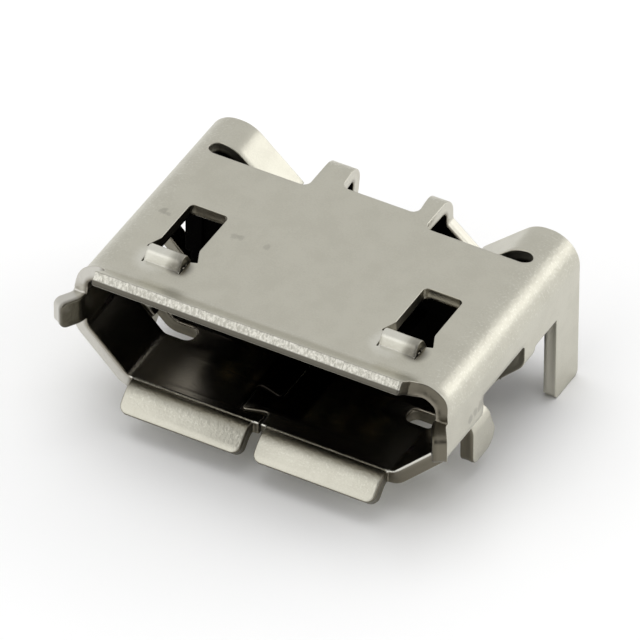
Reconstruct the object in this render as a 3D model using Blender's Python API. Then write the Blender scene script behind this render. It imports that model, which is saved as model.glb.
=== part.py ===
"""Micro USB socket for a circuit board, right-angle type.

One stamped sheet is folded into the shell: a flat blank is drawn with its windows and legs, creased
along its bend lines and carried round the bends. It holds a moulded insulator with a tongue, and five
contacts. Sizes are in millimetres and become metres when each piece is finished.

X runs across the mouth, Y from the mouth to the back, Z up from the board. The origin lies on the
shell's underside, on the centre line, in the middle of the floor seam's dovetail.
"""

import math

import bmesh
import bpy
import numpy as np

MM = 0.001
WELD = 1e-5
FAR = 1e3

# Sheet and mouth
SHEET = 0.26
MOUTH_WIDTH = 6.88
MOUTH_HEIGHT = 1.85
CORNER_INSIDE_RADIUS = 0.32
CHAMFER_WIDTH = 0.96
CHAMFER_HEIGHT = 0.98
CHAMFER_INSIDE_RADIUS = 0.15

# Depths, from the plane of the mouth
ORIGIN_DEPTH = 0.55
TOP_DEPTH = 3.82
TOP_MIDDLE_DEPTH = 4.04
FLOOR_DEPTH = 3.22
WALL_DEPTH = 4.855

# Flares round the mouth
LIP_HALF_WIDTH = 3.02
LIP_START = 0.344
LIP_ANGLE = 36.0
LIP_RADIUS = 0.50
LIP_RUN = 0.57
CORNER_EDGE_REACH = 0.20
CORNER_EDGE_DEPTH = 0.05
CORNER_EDGE_WIDTH = 0.24
CORNER_EDGE_ANGLE = 50.0
CORNER_FLARE_FROM = 45.0
CORNER_FLARE_TO = 80.0
EAR_ABOVE_BEND = 0.08
EAR_HEIGHT = 0.56
EAR_ANGLE = 32.0
EAR_RADIUS = 0.15
EAR_RUN = 0.33
FLAP_HALF_WIDTH = 2.54
FLAP_GAP = 0.26
FLAP_ANGLE = 45.0
FLAP_RADIUS = 0.19
FLAP_RUN = 0.34

# Dovetail in the floor seam
SEAM_GAP = 0.03
DOVETAIL_REACH = 0.50
DOVETAIL_NECK = 0.44
DOVETAIL_HEAD = 0.72

# Windows in the top, each with a spring finger
WINDOW_INNER = 1.95
WINDOW_WIDTH = 0.755
WINDOW_BACK = 2.42
WINDOW_SHOULDER = 1.36
WINDOW_CORNER = 0.10
NOTCH_DEPTH = 1.03
NOTCH_REACH = 0.12
FINGER_ROOT = 0.68
FINGER_SLIT = 0.02
FINGER_RISE_ANGLE = 38.0
FINGER_FALL_ANGLE = 33.0
FINGER_ROOT_RADIUS = 0.15
FINGER_CREST_RADIUS = 0.18
FINGER_RISE_RUN = 0.08
FINGER_FALL_RUN = 0.76

# Side openings: each front leg is folded outwards and down from the lower edge of one
OPENING_TOP = 1.45
OPENING_BACK = 2.83
OPENING_CORNER = 0.10
OPENING_REACH = 0.64
SLOT_FRONT = 1.32
SLOT_WIDTH = 0.36
SLOT_INNER = 2.13
SLOT_CORNER = 0.15
SLOT_BRIDGE = 0.12
FRONT_LEG_SLIT = 0.05
FRONT_LEG_WIDTH = 0.82
FRONT_LEG_ROOT_WIDTH = 0.56
FRONT_LEG_ARC_WIDTH = 0.67
FRONT_LEG_SHOULDER = 0.79
FRONT_LEG_CORNER = 0.20
FRONT_LEG_ROUND = 0.33
FRONT_LEG_RADIUS = 0.05
FRONT_LEG_RUN = 0.70

# Back of the shell
SLOT_BEHIND_TOP = 0.30
SLOT_OUTER = 3.20
RIBBON_CREST = 0.05
RIBBON_ANGLE = 42.0
RIBBON_RADIUS = 0.37
RIBBON_RUN = 1.15
LEG_FRONT = 4.02
LEG_BELOW_BOARD = 0.70
LEG_TIP_CORNER = 0.07
ARM_INNER = 0.75
ARM_WIDTH = 0.42
ARM_FILLET = 0.14
REAR_BEND_START = 4.35
REAR_BEND_RADIUS = 0.29
SHOULDER_DROP = 0.64
SHOULDER_SLOPE = 0.50
REAR_FLAP_HALF_WIDTH = 2.60
REAR_FLAP_ABOVE_BOARD = 0.35

# Insulator
INSULATOR_CLEARANCE = 0.02
INSULATOR_HALF_WIDTH = 2.93
INSULATOR_FRONT = 2.75
INSULATOR_ABOVE_BOARD = 0.02
INSULATOR_SLOPE_START = 3.92
CHAMFER_ROOM = 0.34
TONGUE_HALF_WIDTH = 1.86
TONGUE_FRONT = 1.30
TONGUE_BOTTOM = 0.93
TONGUE_THICKNESS = 0.60
TONGUE_TIP_CHAMFER = 0.12

# Contacts
CONTACT_COUNT = 5
CONTACT_PITCH = 0.65
CONTACT_WIDTH = 0.30
CONTACT_THICKNESS = 0.15
CONTACT_PROUD = 0.02
CONTACT_FRONT = 1.45
CONTACT_DROP_DEPTH = 3.90
CONTACT_BEND_RADIUS = 0.12
CONTACT_TAIL_END = 5.40
CHANNEL_CLEARANCE = 0.015

# Worked out from the sizes above
HALF_SHEET = SHEET / 2
OUTER_HALF_WIDTH = MOUTH_WIDTH / 2 + SHEET
TOP = MOUTH_HEIGHT + 2 * SHEET
CORNER_OUTSIDE_RADIUS = CORNER_INSIDE_RADIUS + SHEET
CHAMFER_OUTSIDE_RADIUS = CHAMFER_INSIDE_RADIUS + SHEET
WALL_TO_CHAMFER = math.atan2(CHAMFER_WIDTH, CHAMFER_HEIGHT)
CHAMFER_TO_FLOOR = math.pi / 2 - WALL_TO_CHAMFER
UPPER_TANGENT = CHAMFER_OUTSIDE_RADIUS * math.tan(WALL_TO_CHAMFER / 2)
LOWER_TANGENT = CHAMFER_OUTSIDE_RADIUS * math.tan(CHAMFER_TO_FLOOR / 2)
BEND_LINE_HEIGHT = CHAMFER_HEIGHT + UPPER_TANGENT
FLOOR_HALF_FLAT = OUTER_HALF_WIDTH - CHAMFER_WIDTH - LOWER_TANGENT
BAND_FRONT = TOP_DEPTH + SLOT_BEHIND_TOP

SHELL_SEGMENTS = {"corner": 7, "chamfer": 3, "lip": 5, "ear": 3, "flap": 4, "rear": 6, "ribbon": 4,
                  "root": 2, "crest": 5, "hook": 7}
ARC_STEPS = 5


def run(length):
    """A straight stretch of sheet."""
    return (length, 0.0)


def bend(degrees, radius):
    """A bend of the sheet's middle layer, towards the normal when the angle is positive."""
    angle = math.radians(degrees)
    return (abs(angle) * radius, angle)


def follow(chain, distance):
    """Place and heading at each distance along a chain of runs and bends that starts straight ahead."""
    along = np.zeros_like(distance)
    rise = np.zeros_like(distance)
    heading = np.zeros_like(distance)
    start = 0.0
    angle = 0.0
    for number, (length, turn) in enumerate(chain):
        limit = None if number == len(chain) - 1 else length
        step = np.clip(distance - start, 0.0, limit)
        if turn == 0.0:
            along += step * math.cos(angle)
            rise += step * math.sin(angle)
        else:
            curvature = turn / length
            along += (np.sin(angle + curvature * step) - math.sin(angle)) / curvature
            rise += (math.cos(angle) - np.cos(angle + curvature * step)) / curvature
            heading += curvature * step
        start += length
        angle += turn
    return along, rise, heading


def smooth(value):
    """A ramp from 0 to 1 with soft ends."""
    t = np.clip(value, 0.0, 1.0)
    return t * t * (3.0 - 2.0 * t)


# The section of one half, from the middle of the top round to the middle of the floor
TOP_RUN = OUTER_HALF_WIDTH - CORNER_OUTSIDE_RADIUS
SECTION = [
    run(TOP_RUN),
    bend(-90.0, CORNER_OUTSIDE_RADIUS - HALF_SHEET),
    run(TOP - CORNER_OUTSIDE_RADIUS - BEND_LINE_HEIGHT),
    bend(-math.degrees(WALL_TO_CHAMFER), CHAMFER_OUTSIDE_RADIUS - HALF_SHEET),
    run(math.hypot(CHAMFER_WIDTH, CHAMFER_HEIGHT) - UPPER_TANGENT - LOWER_TANGENT),
    bend(-math.degrees(CHAMFER_TO_FLOOR), CHAMFER_OUTSIDE_RADIUS - HALF_SHEET),
    run(FLOOR_HALF_FLAT),
]
STATIONS = np.cumsum([length for length, turn in SECTION])
CORNER_START, CORNER_END, WALL_END, CHAMFER_START, CHAMFER_END, FLOOR_START, SEAM = STATIONS

LIP = [bend(LIP_ANGLE, LIP_RADIUS + HALF_SHEET), run(LIP_RUN)]
EAR = [bend(EAR_ANGLE, EAR_RADIUS + HALF_SHEET), run(EAR_RUN)]
FLAP = [bend(FLAP_ANGLE, FLAP_RADIUS + HALF_SHEET), run(FLAP_RUN)]
REAR = [bend(-90.0, REAR_BEND_RADIUS + HALF_SHEET), run(TOP)]
RIBBON = [run(RIBBON_CREST), bend(-RIBBON_ANGLE, RIBBON_RADIUS + HALF_SHEET), run(RIBBON_RUN)]
FINGER = [
    bend(FINGER_RISE_ANGLE, FINGER_ROOT_RADIUS),
    run(FINGER_RISE_RUN),
    bend(-FINGER_RISE_ANGLE - FINGER_FALL_ANGLE, FINGER_CREST_RADIUS),
    run(FINGER_FALL_RUN),
]


def chain_length(chain):
    return sum(length for length, turn in chain)


def wall_station(height):
    """Distance round the section to a height on the side wall."""
    return CORNER_END + TOP - CORNER_OUTSIDE_RADIUS - height


def floor_station(x):
    """Distance round the section to a place on the floor."""
    return FLOOR_START + FLOOR_HALF_FLAT - x


LIP_END = LIP_START - chain_length(LIP)
EAR_END = -chain_length(EAR)
FLAP_END = -chain_length(FLAP)
EAR_TOP = wall_station(BEND_LINE_HEIGHT + EAR_ABOVE_BEND + EAR_HEIGHT)
EAR_BOTTOM = wall_station(BEND_LINE_HEIGHT + EAR_ABOVE_BEND)
RIBBON_TIP = CORNER_START - chain_length(RIBBON)
LEG_END = wall_station(-LEG_BELOW_BOARD)
REAR_BEND_END = REAR_BEND_START + REAR[0][0]
REAR_BEND_DROP = REAR_BEND_RADIUS + SHEET
HOOK = [bend(180.0 - math.degrees(WALL_TO_CHAMFER), FRONT_LEG_RADIUS + HALF_SHEET), run(FRONT_LEG_RUN)]
HOOK_ROOT = CHAMFER_START + OPENING_REACH
HOOK_TIP = HOOK_ROOT - chain_length(HOOK)
FRONT_LEG_FRONT = SLOT_FRONT + FRONT_LEG_SLIT
FRONT_LEG_BACK = FRONT_LEG_FRONT + FRONT_LEG_WIDTH
FINGER_END = FINGER_ROOT + chain_length(FINGER)
WINDOW_OUTER = WINDOW_INNER + WINDOW_WIDTH


def rear_depth(drop):
    """Flat depth of a place on the rear flap, from how far it lies below the top."""
    return REAR_BEND_END + drop - REAR_BEND_DROP


def fold(s, y, lift):
    """Carries points of the flat blank to the folded shell.

    s is the distance round the section from the middle of the top, y the depth from the mouth, and
    lift the height above the sheet's middle layer, outwards.
    """
    side = np.where(s < 0.0, -1.0, 1.0)
    s = np.abs(s)
    x, z, turn = follow(SECTION, s)
    z = z + TOP - HALF_SHEET
    across = -np.sin(turn)
    up = np.cos(turn)
    back = np.zeros_like(s)
    depth = y.copy()

    corner_turn = np.degrees(-turn)
    fade = 1.0 - smooth((corner_turn - CORNER_FLARE_FROM) / (CORNER_FLARE_TO - CORNER_FLARE_FROM))
    on_wall = (s > CORNER_END) & (s <= WALL_END)
    flares = (
        (s <= CORNER_END, LIP_START, LIP, fade),
        (on_wall & (y < 0.0), 0.0, EAR, 1.0),
        ((s > CHAMFER_END) & (y < 0.0), 0.0, FLAP, 1.0),
    )
    for mask, start, chain, weight in flares:
        forward, out, tilt = follow(chain, np.where(mask, np.maximum(start - y, 0.0), 0.0))
        tilt = tilt * weight
        moved = mask & (y < start)
        depth = np.where(moved, start - forward, depth)
        x = x + across * out * weight
        z = z + up * out * weight
        back = np.where(moved, np.sin(tilt), back)
        across = np.where(moved, across * np.cos(tilt), across)
        up = np.where(moved, up * np.cos(tilt), up)

    in_finger = (s > WINDOW_INNER + FINGER_SLIT / 2) & (s < WINDOW_OUTER - FINGER_SLIT / 2)
    in_finger &= (y > FINGER_ROOT) & (y < (FINGER_END + WINDOW_BACK) / 2)
    in_arms = (y > REAR_BEND_START) & (s < (ARM_INNER + ARM_WIDTH + RIBBON_TIP) / 2)
    in_arms |= y > (WALL_DEPTH + rear_depth(SHOULDER_DROP)) / 2
    for mask, start, chain in ((in_finger, FINGER_ROOT, FINGER), (in_arms, REAR_BEND_START, REAR)):
        backward, out, tilt = follow(chain, np.where(mask, y - start, 0.0))
        depth = np.where(mask, start + backward, depth)
        z = z + out
        back = np.where(mask, -np.sin(tilt), back)
        up = np.where(mask, np.cos(tilt), up)

    in_ribbon = (y > (TOP_DEPTH + BAND_FRONT) / 2) & (s < CORNER_START) & ~in_arms
    in_ribbon &= s > (ARM_INNER + ARM_WIDTH + RIBBON_TIP) / 2
    inward, out, tilt = follow(RIBBON, np.where(in_ribbon, CORNER_START - s, 0.0))
    x = np.where(in_ribbon, CORNER_START - inward, x)
    z = np.where(in_ribbon, TOP - HALF_SHEET + out, z)
    across = np.where(in_ribbon, np.sin(tilt), across)
    up = np.where(in_ribbon, np.cos(tilt), up)

    in_hook = (y > FRONT_LEG_FRONT - FRONT_LEG_SLIT / 2) & (y < (FRONT_LEG_BACK + OPENING_BACK) / 2)
    in_hook &= (s > (HOOK_TIP + wall_station(OPENING_TOP)) / 2) & (s < HOOK_ROOT)
    root_x, root_z, root_turn = (float(value) for value in follow(SECTION, np.array(HOOK_ROOT)))
    root_z += TOP - HALF_SHEET
    outward, out, tilt = follow(HOOK, np.where(in_hook, HOOK_ROOT - s, 0.0))
    ahead = (-math.cos(root_turn), -math.sin(root_turn))
    away = (-math.sin(root_turn), math.cos(root_turn))
    x = np.where(in_hook, root_x + ahead[0] * outward + away[0] * out, x)
    z = np.where(in_hook, root_z + ahead[1] * outward + away[1] * out, z)
    across = np.where(in_hook, away[0] * np.cos(tilt) - ahead[0] * np.sin(tilt), across)
    up = np.where(in_hook, away[1] * np.cos(tilt) - ahead[1] * np.sin(tilt), up)

    in_rear_leg = (y > (FLOOR_DEPTH + LEG_FRONT) / 2) & (s > WALL_END)
    x = np.where(in_rear_leg, OUTER_HALF_WIDTH - HALF_SHEET, x)
    z = np.where(in_rear_leg, BEND_LINE_HEIGHT - (s - WALL_END), z)
    across = np.where(in_rear_leg, 1.0, across)
    up = np.where(in_rear_leg, 0.0, up)

    x = (x + across * lift) * side
    return x, depth + back * lift, z + up * lift


def arc(centre, radius, start, stop, steps=ARC_STEPS):
    """Points round part of a circle, angles in degrees."""
    angles = np.radians(np.linspace(start, stop, steps + 1))
    return [(centre[0] + radius * math.cos(a), centre[1] + radius * math.sin(a)) for a in angles]


def half_outline(seam):
    """Outline of the right half of the blank, from the middle of the lip to the middle of the back."""
    points = [(LIP_HALF_WIDTH, LIP_END)]
    for number in range(ARC_STEPS + 1):
        part = number / ARC_STEPS
        rise = (CORNER_EDGE_REACH + CORNER_EDGE_DEPTH) * (1.0 - part) ** 2
        points.append((LIP_HALF_WIDTH + CORNER_EDGE_WIDTH * part, CORNER_EDGE_DEPTH - rise))
    turned = (CORNER_END - CORNER_START) * CORNER_EDGE_ANGLE / 90.0
    points += [(CORNER_START + turned, CORNER_EDGE_DEPTH), (CORNER_END, 0.0), (EAR_TOP, 0.0)]
    ear_corner = EAR_HEIGHT / 4
    points += arc((EAR_TOP + ear_corner, EAR_END + ear_corner), ear_corner, 180.0, 270.0)
    points += arc((EAR_BOTTOM - ear_corner, EAR_END + ear_corner), ear_corner, 270.0, 360.0)
    points += [(EAR_BOTTOM, 0.0), (floor_station(FLAP_HALF_WIDTH), 0.0)]
    flap_corner = FLAP_RUN / 2
    flap_outer = floor_station(FLAP_HALF_WIDTH) + flap_corner
    flap_inner = floor_station(FLAP_GAP / 2) - flap_corner
    points += arc((flap_outer, FLAP_END + flap_corner), flap_corner, 180.0, 270.0)
    points += arc((flap_inner, FLAP_END + flap_corner), flap_corner, 270.0, 360.0)
    points += [(floor_station(FLAP_GAP / 2), 0.0)]
    points += seam
    points += [(WALL_END, FLOOR_DEPTH), (WALL_END, LEG_FRONT)]
    points += [(LEG_END - LEG_TIP_CORNER, LEG_FRONT), (LEG_END, LEG_FRONT + LEG_TIP_CORNER)]
    points += [(LEG_END, WALL_DEPTH - LEG_TIP_CORNER), (LEG_END - LEG_TIP_CORNER, WALL_DEPTH)]
    points += [(RIBBON_TIP, WALL_DEPTH), (RIBBON_TIP, BAND_FRONT)]
    half_slot = SLOT_BEHIND_TOP / 2
    points += arc((SLOT_OUTER - half_slot, TOP_DEPTH + half_slot), half_slot, 90.0, -90.0)
    arm_outer = ARM_INNER + ARM_WIDTH
    points += arc((arm_outer + ARM_FILLET, TOP_DEPTH + ARM_FILLET), ARM_FILLET, 270.0, 180.0)
    points += [(arm_outer, rear_depth(SHOULDER_DROP))]
    points += [(REAR_FLAP_HALF_WIDTH, rear_depth(SHOULDER_DROP + SHOULDER_SLOPE))]
    points += [(REAR_FLAP_HALF_WIDTH, rear_depth(TOP - REAR_FLAP_ABOVE_BOARD))]
    return points


def seam_outline(reach, growth):
    """The seam's edge from front to back; the dovetail's tab reaches past it, its socket stays short."""
    edge = SEAM - SEAM_GAP / 2
    neck = DOVETAIL_NECK / 2 + growth
    head = DOVETAIL_HEAD / 2 + growth
    return [
        (edge, 0.0),
        (edge, ORIGIN_DEPTH - neck),
        (edge + reach, ORIGIN_DEPTH - head),
        (edge + reach, ORIGIN_DEPTH + head),
        (edge, ORIGIN_DEPTH + neck),
        (edge, FLOOR_DEPTH),
    ]


def blank_outline():
    """The whole blank: the right half with the tab, and the left half with the socket."""
    right = half_outline(seam_outline(DOVETAIL_REACH, -SEAM_GAP / 2))
    left = half_outline(seam_outline(-DOVETAIL_REACH, SEAM_GAP / 2))
    return right + [(-s, y) for s, y in reversed(left)]


def window_outline():
    """The right window, whose outline runs round its spring finger."""
    inner = WINDOW_INNER + FINGER_SLIT
    outer = WINDOW_OUTER - FINGER_SLIT
    r = WINDOW_CORNER
    points = [(WINDOW_INNER, FINGER_ROOT - FINGER_SLIT), (WINDOW_INNER, NOTCH_DEPTH)]
    points += [(WINDOW_INNER - NOTCH_REACH, NOTCH_DEPTH + NOTCH_REACH / 3)]
    points += [(WINDOW_INNER - NOTCH_REACH, NOTCH_DEPTH + NOTCH_REACH / 2), (WINDOW_INNER, WINDOW_SHOULDER)]
    points += arc((WINDOW_INNER + r, WINDOW_BACK - r), r, 180.0, 90.0)
    points += arc((WINDOW_OUTER - r, WINDOW_BACK - r), r, 90.0, 0.0)
    points += [(WINDOW_OUTER, WINDOW_SHOULDER), (WINDOW_OUTER + NOTCH_REACH, NOTCH_DEPTH + NOTCH_REACH / 2)]
    points += [(WINDOW_OUTER + NOTCH_REACH, NOTCH_DEPTH + NOTCH_REACH / 3), (WINDOW_OUTER, NOTCH_DEPTH)]
    points += [(WINDOW_OUTER, FINGER_ROOT - FINGER_SLIT), (outer, FINGER_ROOT - FINGER_SLIT)]
    points += [(outer, FINGER_END), (inner, FINGER_END), (inner, FINGER_ROOT - FINGER_SLIT)]
    return points


def opening_outline():
    """The right side opening with the slot below it, round the front leg that hangs on its lower edge."""
    top = wall_station(OPENING_TOP)
    r = OPENING_CORNER
    slot_end = floor_station(SLOT_INNER)
    slot_back = SLOT_FRONT + SLOT_WIDTH
    slot_r = SLOT_CORNER
    leg_r = FRONT_LEG_CORNER
    leg_round = FRONT_LEG_ROUND
    points = [(top, SLOT_FRONT)]
    points += arc((top + r, OPENING_BACK - r), r, 180.0, 90.0)
    points += arc((HOOK_ROOT - r, OPENING_BACK - r), r, 90.0, 0.0)
    points += [(HOOK_ROOT, FRONT_LEG_FRONT + FRONT_LEG_ROOT_WIDTH)]
    points += [(HOOK_ROOT - HOOK[0][0], FRONT_LEG_FRONT + FRONT_LEG_ARC_WIDTH)]
    points += [(HOOK_ROOT - FRONT_LEG_SHOULDER, FRONT_LEG_BACK)]
    points += arc((HOOK_TIP + leg_round, FRONT_LEG_BACK - leg_round), leg_round, 90.0, 180.0)
    points += arc((HOOK_TIP + leg_r, FRONT_LEG_FRONT + leg_r), leg_r, 180.0, 270.0)
    points += [(HOOK_ROOT + SLOT_BRIDGE, FRONT_LEG_FRONT), (HOOK_ROOT + SLOT_BRIDGE, slot_back)]
    points += arc((slot_end - slot_r, slot_back - slot_r), slot_r, 90.0, 0.0)
    points += arc((slot_end - slot_r, SLOT_FRONT + slot_r), slot_r, 0.0, -90.0)
    return points


def arms_outline():
    """The hole between the two arms of the rear flap."""
    r = ARM_FILLET
    back = rear_depth(SHOULDER_DROP)
    points = arc((-ARM_INNER + r, TOP_MIDDLE_DEPTH + r), r, 180.0, 270.0)
    points += arc((ARM_INNER - r, TOP_MIDDLE_DEPTH + r), r, 270.0, 360.0)
    points += [(ARM_INNER, back), (-ARM_INNER, back)]
    return points


def plate(name, outlines, thickness):
    """A flat plate of even thickness from closed outlines, the first one round the others."""
    curve = bpy.data.curves.new(name, "CURVE")
    curve.dimensions = "2D"
    curve.fill_mode = "BOTH"
    curve.extrude = thickness / 2
    for outline in outlines:
        spline = curve.splines.new("POLY")
        spline.points.add(len(outline) - 1)
        for point, (a, b) in zip(spline.points, outline):
            point.co = (a, b, 0.0, 1.0)
        spline.use_cyclic_u = True
    holder = bpy.data.objects.new(name, curve)
    bpy.context.scene.collection.objects.link(holder)
    depsgraph = bpy.context.evaluated_depsgraph_get()
    mesh = bpy.data.meshes.new_from_object(holder.evaluated_get(depsgraph))
    bpy.data.objects.remove(holder)
    bpy.data.curves.remove(curve)
    bm = bmesh.new()
    bm.from_mesh(mesh)
    bpy.data.meshes.remove(mesh)
    bmesh.ops.remove_doubles(bm, verts=bm.verts, dist=WELD)
    bmesh.ops.dissolve_limit(bm, angle_limit=math.radians(0.5), verts=bm.verts, edges=bm.edges)
    return bm


def cut_line(bm, axis, value, low, high):
    """Cuts the faces that cross a line and reach between two limits of the other direction."""
    faces = []
    for face in bm.faces:
        along = [vert.co[axis] for vert in face.verts]
        beside = [vert.co[1 - axis] for vert in face.verts]
        crosses = min(along) < value - WELD and max(along) > value + WELD
        reaches = max(beside) > low + WELD and min(beside) < high - WELD
        on_limit = max(beside) - min(beside) < WELD and low - WELD < min(beside) < high + WELD
        if crosses and (reaches or on_limit):
            faces.append(face)
    edges = {edge for face in faces for edge in face.edges}
    verts = {vert for face in faces for vert in face.verts}
    point = [0.0, 0.0, 0.0]
    normal = [0.0, 0.0, 0.0]
    point[axis] = value
    normal[axis] = 1.0
    if faces:
        bmesh.ops.bisect_plane(bm, geom=list(verts) + list(edges) + faces, dist=WELD,
                               plane_co=point, plane_no=normal)


def crease(bm, axis, values, low=-FAR, high=FAR):
    """Sets a region apart between two limits and cuts its bend lines, so that the plate can turn."""
    for limit in (low, high):
        cut_line(bm, 1 - axis, limit, min(values), max(values))
    for value in values:
        cut_line(bm, axis, value, low, high)


def stations(start, length, count):
    return [start + length * number / count for number in range(count + 1)]


def crease_shell(bm):
    """The bend lines of the shell, close together where the sheet turns."""
    n = SHELL_SEGMENTS
    for side in (1.0, -1.0):
        corner = stations(CORNER_START, CORNER_END - CORNER_START, n["corner"])
        crease(bm, 0, [side * s for s in corner])
        lower = stations(WALL_END, CHAMFER_START - WALL_END, n["chamfer"])
        lower += stations(CHAMFER_END, FLOOR_START - CHAMFER_END, n["chamfer"])
        crease(bm, 0, [side * s for s in lower], high=FLOOR_DEPTH)
        ribbon = stations(CORNER_START - RIBBON_CREST - RIBBON[1][0], RIBBON[1][0], n["ribbon"])
        crease(bm, 0, [side * s for s in ribbon], BAND_FRONT, WALL_DEPTH)
        hook = stations(HOOK_ROOT - HOOK[0][0], HOOK[0][0], n["hook"])
        crease(bm, 0, [side * s for s in hook], FRONT_LEG_FRONT, FRONT_LEG_BACK)
        ear = stations(0.0, -EAR[0][0], n["ear"])
        crease(bm, 1, ear, *sorted((side * EAR_TOP, side * EAR_BOTTOM)))
        flap = stations(0.0, -FLAP[0][0], n["flap"])
        crease(bm, 1, flap, *sorted((side * CHAMFER_END, side * SEAM)))
        crest = FINGER_ROOT + FINGER[0][0] + FINGER_RISE_RUN
        finger = stations(FINGER_ROOT, FINGER[0][0], n["root"]) + stations(crest, FINGER[2][0], n["crest"])
        crease(bm, 1, finger, *sorted((side * WINDOW_INNER, side * WINDOW_OUTER)))
    crease(bm, 1, stations(LIP_START, -LIP[0][0], n["lip"]), -CORNER_END, CORNER_END)
    crease(bm, 1, stations(REAR_BEND_START, REAR[0][0], n["rear"]), -RIBBON_TIP, RIBBON_TIP)


def place(bm, name, material, x, y, z):
    """Puts worked-out places into a mesh, in metres from the origin, and makes its object."""
    for vert, a, b, c in zip(bm.verts, x, y, z):
        vert.co = (a * MM, (b - ORIGIN_DEPTH) * MM, c * MM)
    bmesh.ops.recalc_face_normals(bm, faces=bm.faces)
    mesh = bpy.data.meshes.new(name)
    bm.to_mesh(mesh)
    bm.free()
    mesh.shade_smooth()
    mesh.set_sharp_from_angle(angle=math.radians(30.0))
    mesh.materials.append(material)
    piece = bpy.data.objects.new(name, mesh)
    COLLECTION.objects.link(piece)
    return piece


def make_shell(material):
    """The shell: one blank, creased and folded."""
    window = window_outline()
    opening = opening_outline()
    holes = [window, [(-s, y) for s, y in window], opening, [(-s, y) for s, y in opening], arms_outline()]
    bm = plate("blank", [blank_outline()] + holes, SHEET)
    crease_shell(bm)
    bmesh.ops.triangulate(bm, faces=bm.faces)
    flat = np.array([vert.co[:] for vert in bm.verts])
    return place(bm, "shell", material, *fold(flat[:, 0], flat[:, 1], flat[:, 2]))


def strip_outline(chain, thickness, start, heading_down, extend=0.0):
    """Side outline of a bent strip: its two faces follow the chain at half a thickness to each side."""
    lengths = [0.0]
    for length, turn in chain:
        steps = ARC_STEPS if turn else 1
        lengths += [lengths[-1] + length * (number + 1) / steps for number in range(steps)]
    distance = np.array(lengths)
    along, rise, heading = follow(chain, distance)
    along[0] -= extend
    along[-1] += extend * math.cos(heading[-1])
    rise = rise * (-1.0 if heading_down else 1.0)
    heading = heading * (-1.0 if heading_down else 1.0)
    half = thickness / 2
    upper = zip(start[0] + along - half * np.sin(heading), start[1] + rise + half * np.cos(heading))
    lower = zip(start[0] + along + half * np.sin(heading), start[1] + rise - half * np.cos(heading))
    return list(upper) + list(lower)[::-1]


def contact_chain():
    """Along the tongue, down behind it and out along the board."""
    middle_height = TONGUE_BOTTOM - CONTACT_PROUD + CONTACT_THICKNESS / 2
    radius = CONTACT_BEND_RADIUS + CONTACT_THICKNESS / 2
    front_run = CONTACT_DROP_DEPTH - CONTACT_FRONT - radius
    drop = middle_height - CONTACT_THICKNESS / 2 - 2 * radius
    tail = CONTACT_TAIL_END - CONTACT_DROP_DEPTH - radius
    chain = [run(front_run), bend(90.0, radius), run(drop), bend(-90.0, radius), run(tail)]
    return chain, (CONTACT_FRONT, middle_height)


def contact_solid(clearance):
    """A contact's plate, or the channel that it lies in when a clearance is given."""
    chain, start = contact_chain()
    outline = strip_outline(chain, CONTACT_THICKNESS + 2 * clearance, start, True, clearance)
    return plate("contact", [outline], CONTACT_WIDTH + 2 * clearance)


def contact_places():
    middle = (CONTACT_COUNT - 1) / 2
    return [(number - middle) * CONTACT_PITCH for number in range(CONTACT_COUNT)]


def make_contacts(material):
    """Five bent strips, from left to right."""
    pieces = []
    for number, x in enumerate(contact_places()):
        bm = contact_solid(0.0)
        flat = np.array([vert.co[:] for vert in bm.verts])
        name = "contact_" + str(number + 1)
        pieces.append(place(bm, name, material, x + flat[:, 2], flat[:, 0], flat[:, 1]))
    return pieces


def block(name, low, high):
    """A box between two corners, in millimetres from the mouth plane."""
    bm = bmesh.new()
    bmesh.ops.create_cube(bm, size=1.0)
    for vert in bm.verts:
        vert.co = [low[i] + (vert.co[i] + 0.5) * (high[i] - low[i]) for i in range(3)]
    mesh = bpy.data.meshes.new(name)
    bm.to_mesh(mesh)
    bm.free()
    return bpy.data.objects.new(name, mesh)


def extruded(name, outline, half_width):
    """A side outline carried across the socket."""
    bm = plate(name, [outline], 2 * half_width)
    for vert in bm.verts:
        vert.co = (vert.co.z, vert.co.x, vert.co.y)
    bmesh.ops.recalc_face_normals(bm, faces=bm.faces)
    mesh = bpy.data.meshes.new(name)
    bm.to_mesh(mesh)
    bm.free()
    return bpy.data.objects.new(name, mesh)


def cut(target, tool, operation):
    """Adds one Boolean step, with its tool kept among the cutters."""
    CUTTERS.objects.link(tool)
    tool.hide_render = True
    tool.display_type = "WIRE"
    modifier = target.modifiers.new(tool.name, "BOOLEAN")
    modifier.operation = operation
    modifier.solver = "EXACT"
    modifier.object = tool


def insulator_outline():
    """Side outline of the body: it steps down to the board behind the shell's floor."""
    top = TOP - SHEET - INSULATOR_CLEARANCE
    over_floor = SHEET + INSULATOR_CLEARANCE
    back = REAR_BEND_START + REAR_BEND_RADIUS - 2 * INSULATOR_CLEARANCE
    step = FLOOR_DEPTH + 2 * INSULATOR_CLEARANCE
    return [
        (INSULATOR_FRONT, over_floor),
        (step, over_floor),
        (step, INSULATOR_ABOVE_BOARD),
        (back, INSULATOR_ABOVE_BOARD),
        (back, top - (back - INSULATOR_SLOPE_START)),
        (INSULATOR_SLOPE_START, top),
        (INSULATOR_FRONT, top),
    ]


def tongue_outline():
    """Side outline of the tongue, which reaches into the body behind it."""
    top = TONGUE_BOTTOM + TONGUE_THICKNESS
    chamfer = TONGUE_TIP_CHAMFER
    inside = (INSULATOR_FRONT + FLOOR_DEPTH) / 2
    return [
        (TONGUE_FRONT, TONGUE_BOTTOM + chamfer),
        (TONGUE_FRONT + chamfer, TONGUE_BOTTOM),
        (inside, TONGUE_BOTTOM),
        (inside, top),
        (TONGUE_FRONT + chamfer, top),
        (TONGUE_FRONT, top - chamfer),
    ]


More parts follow.
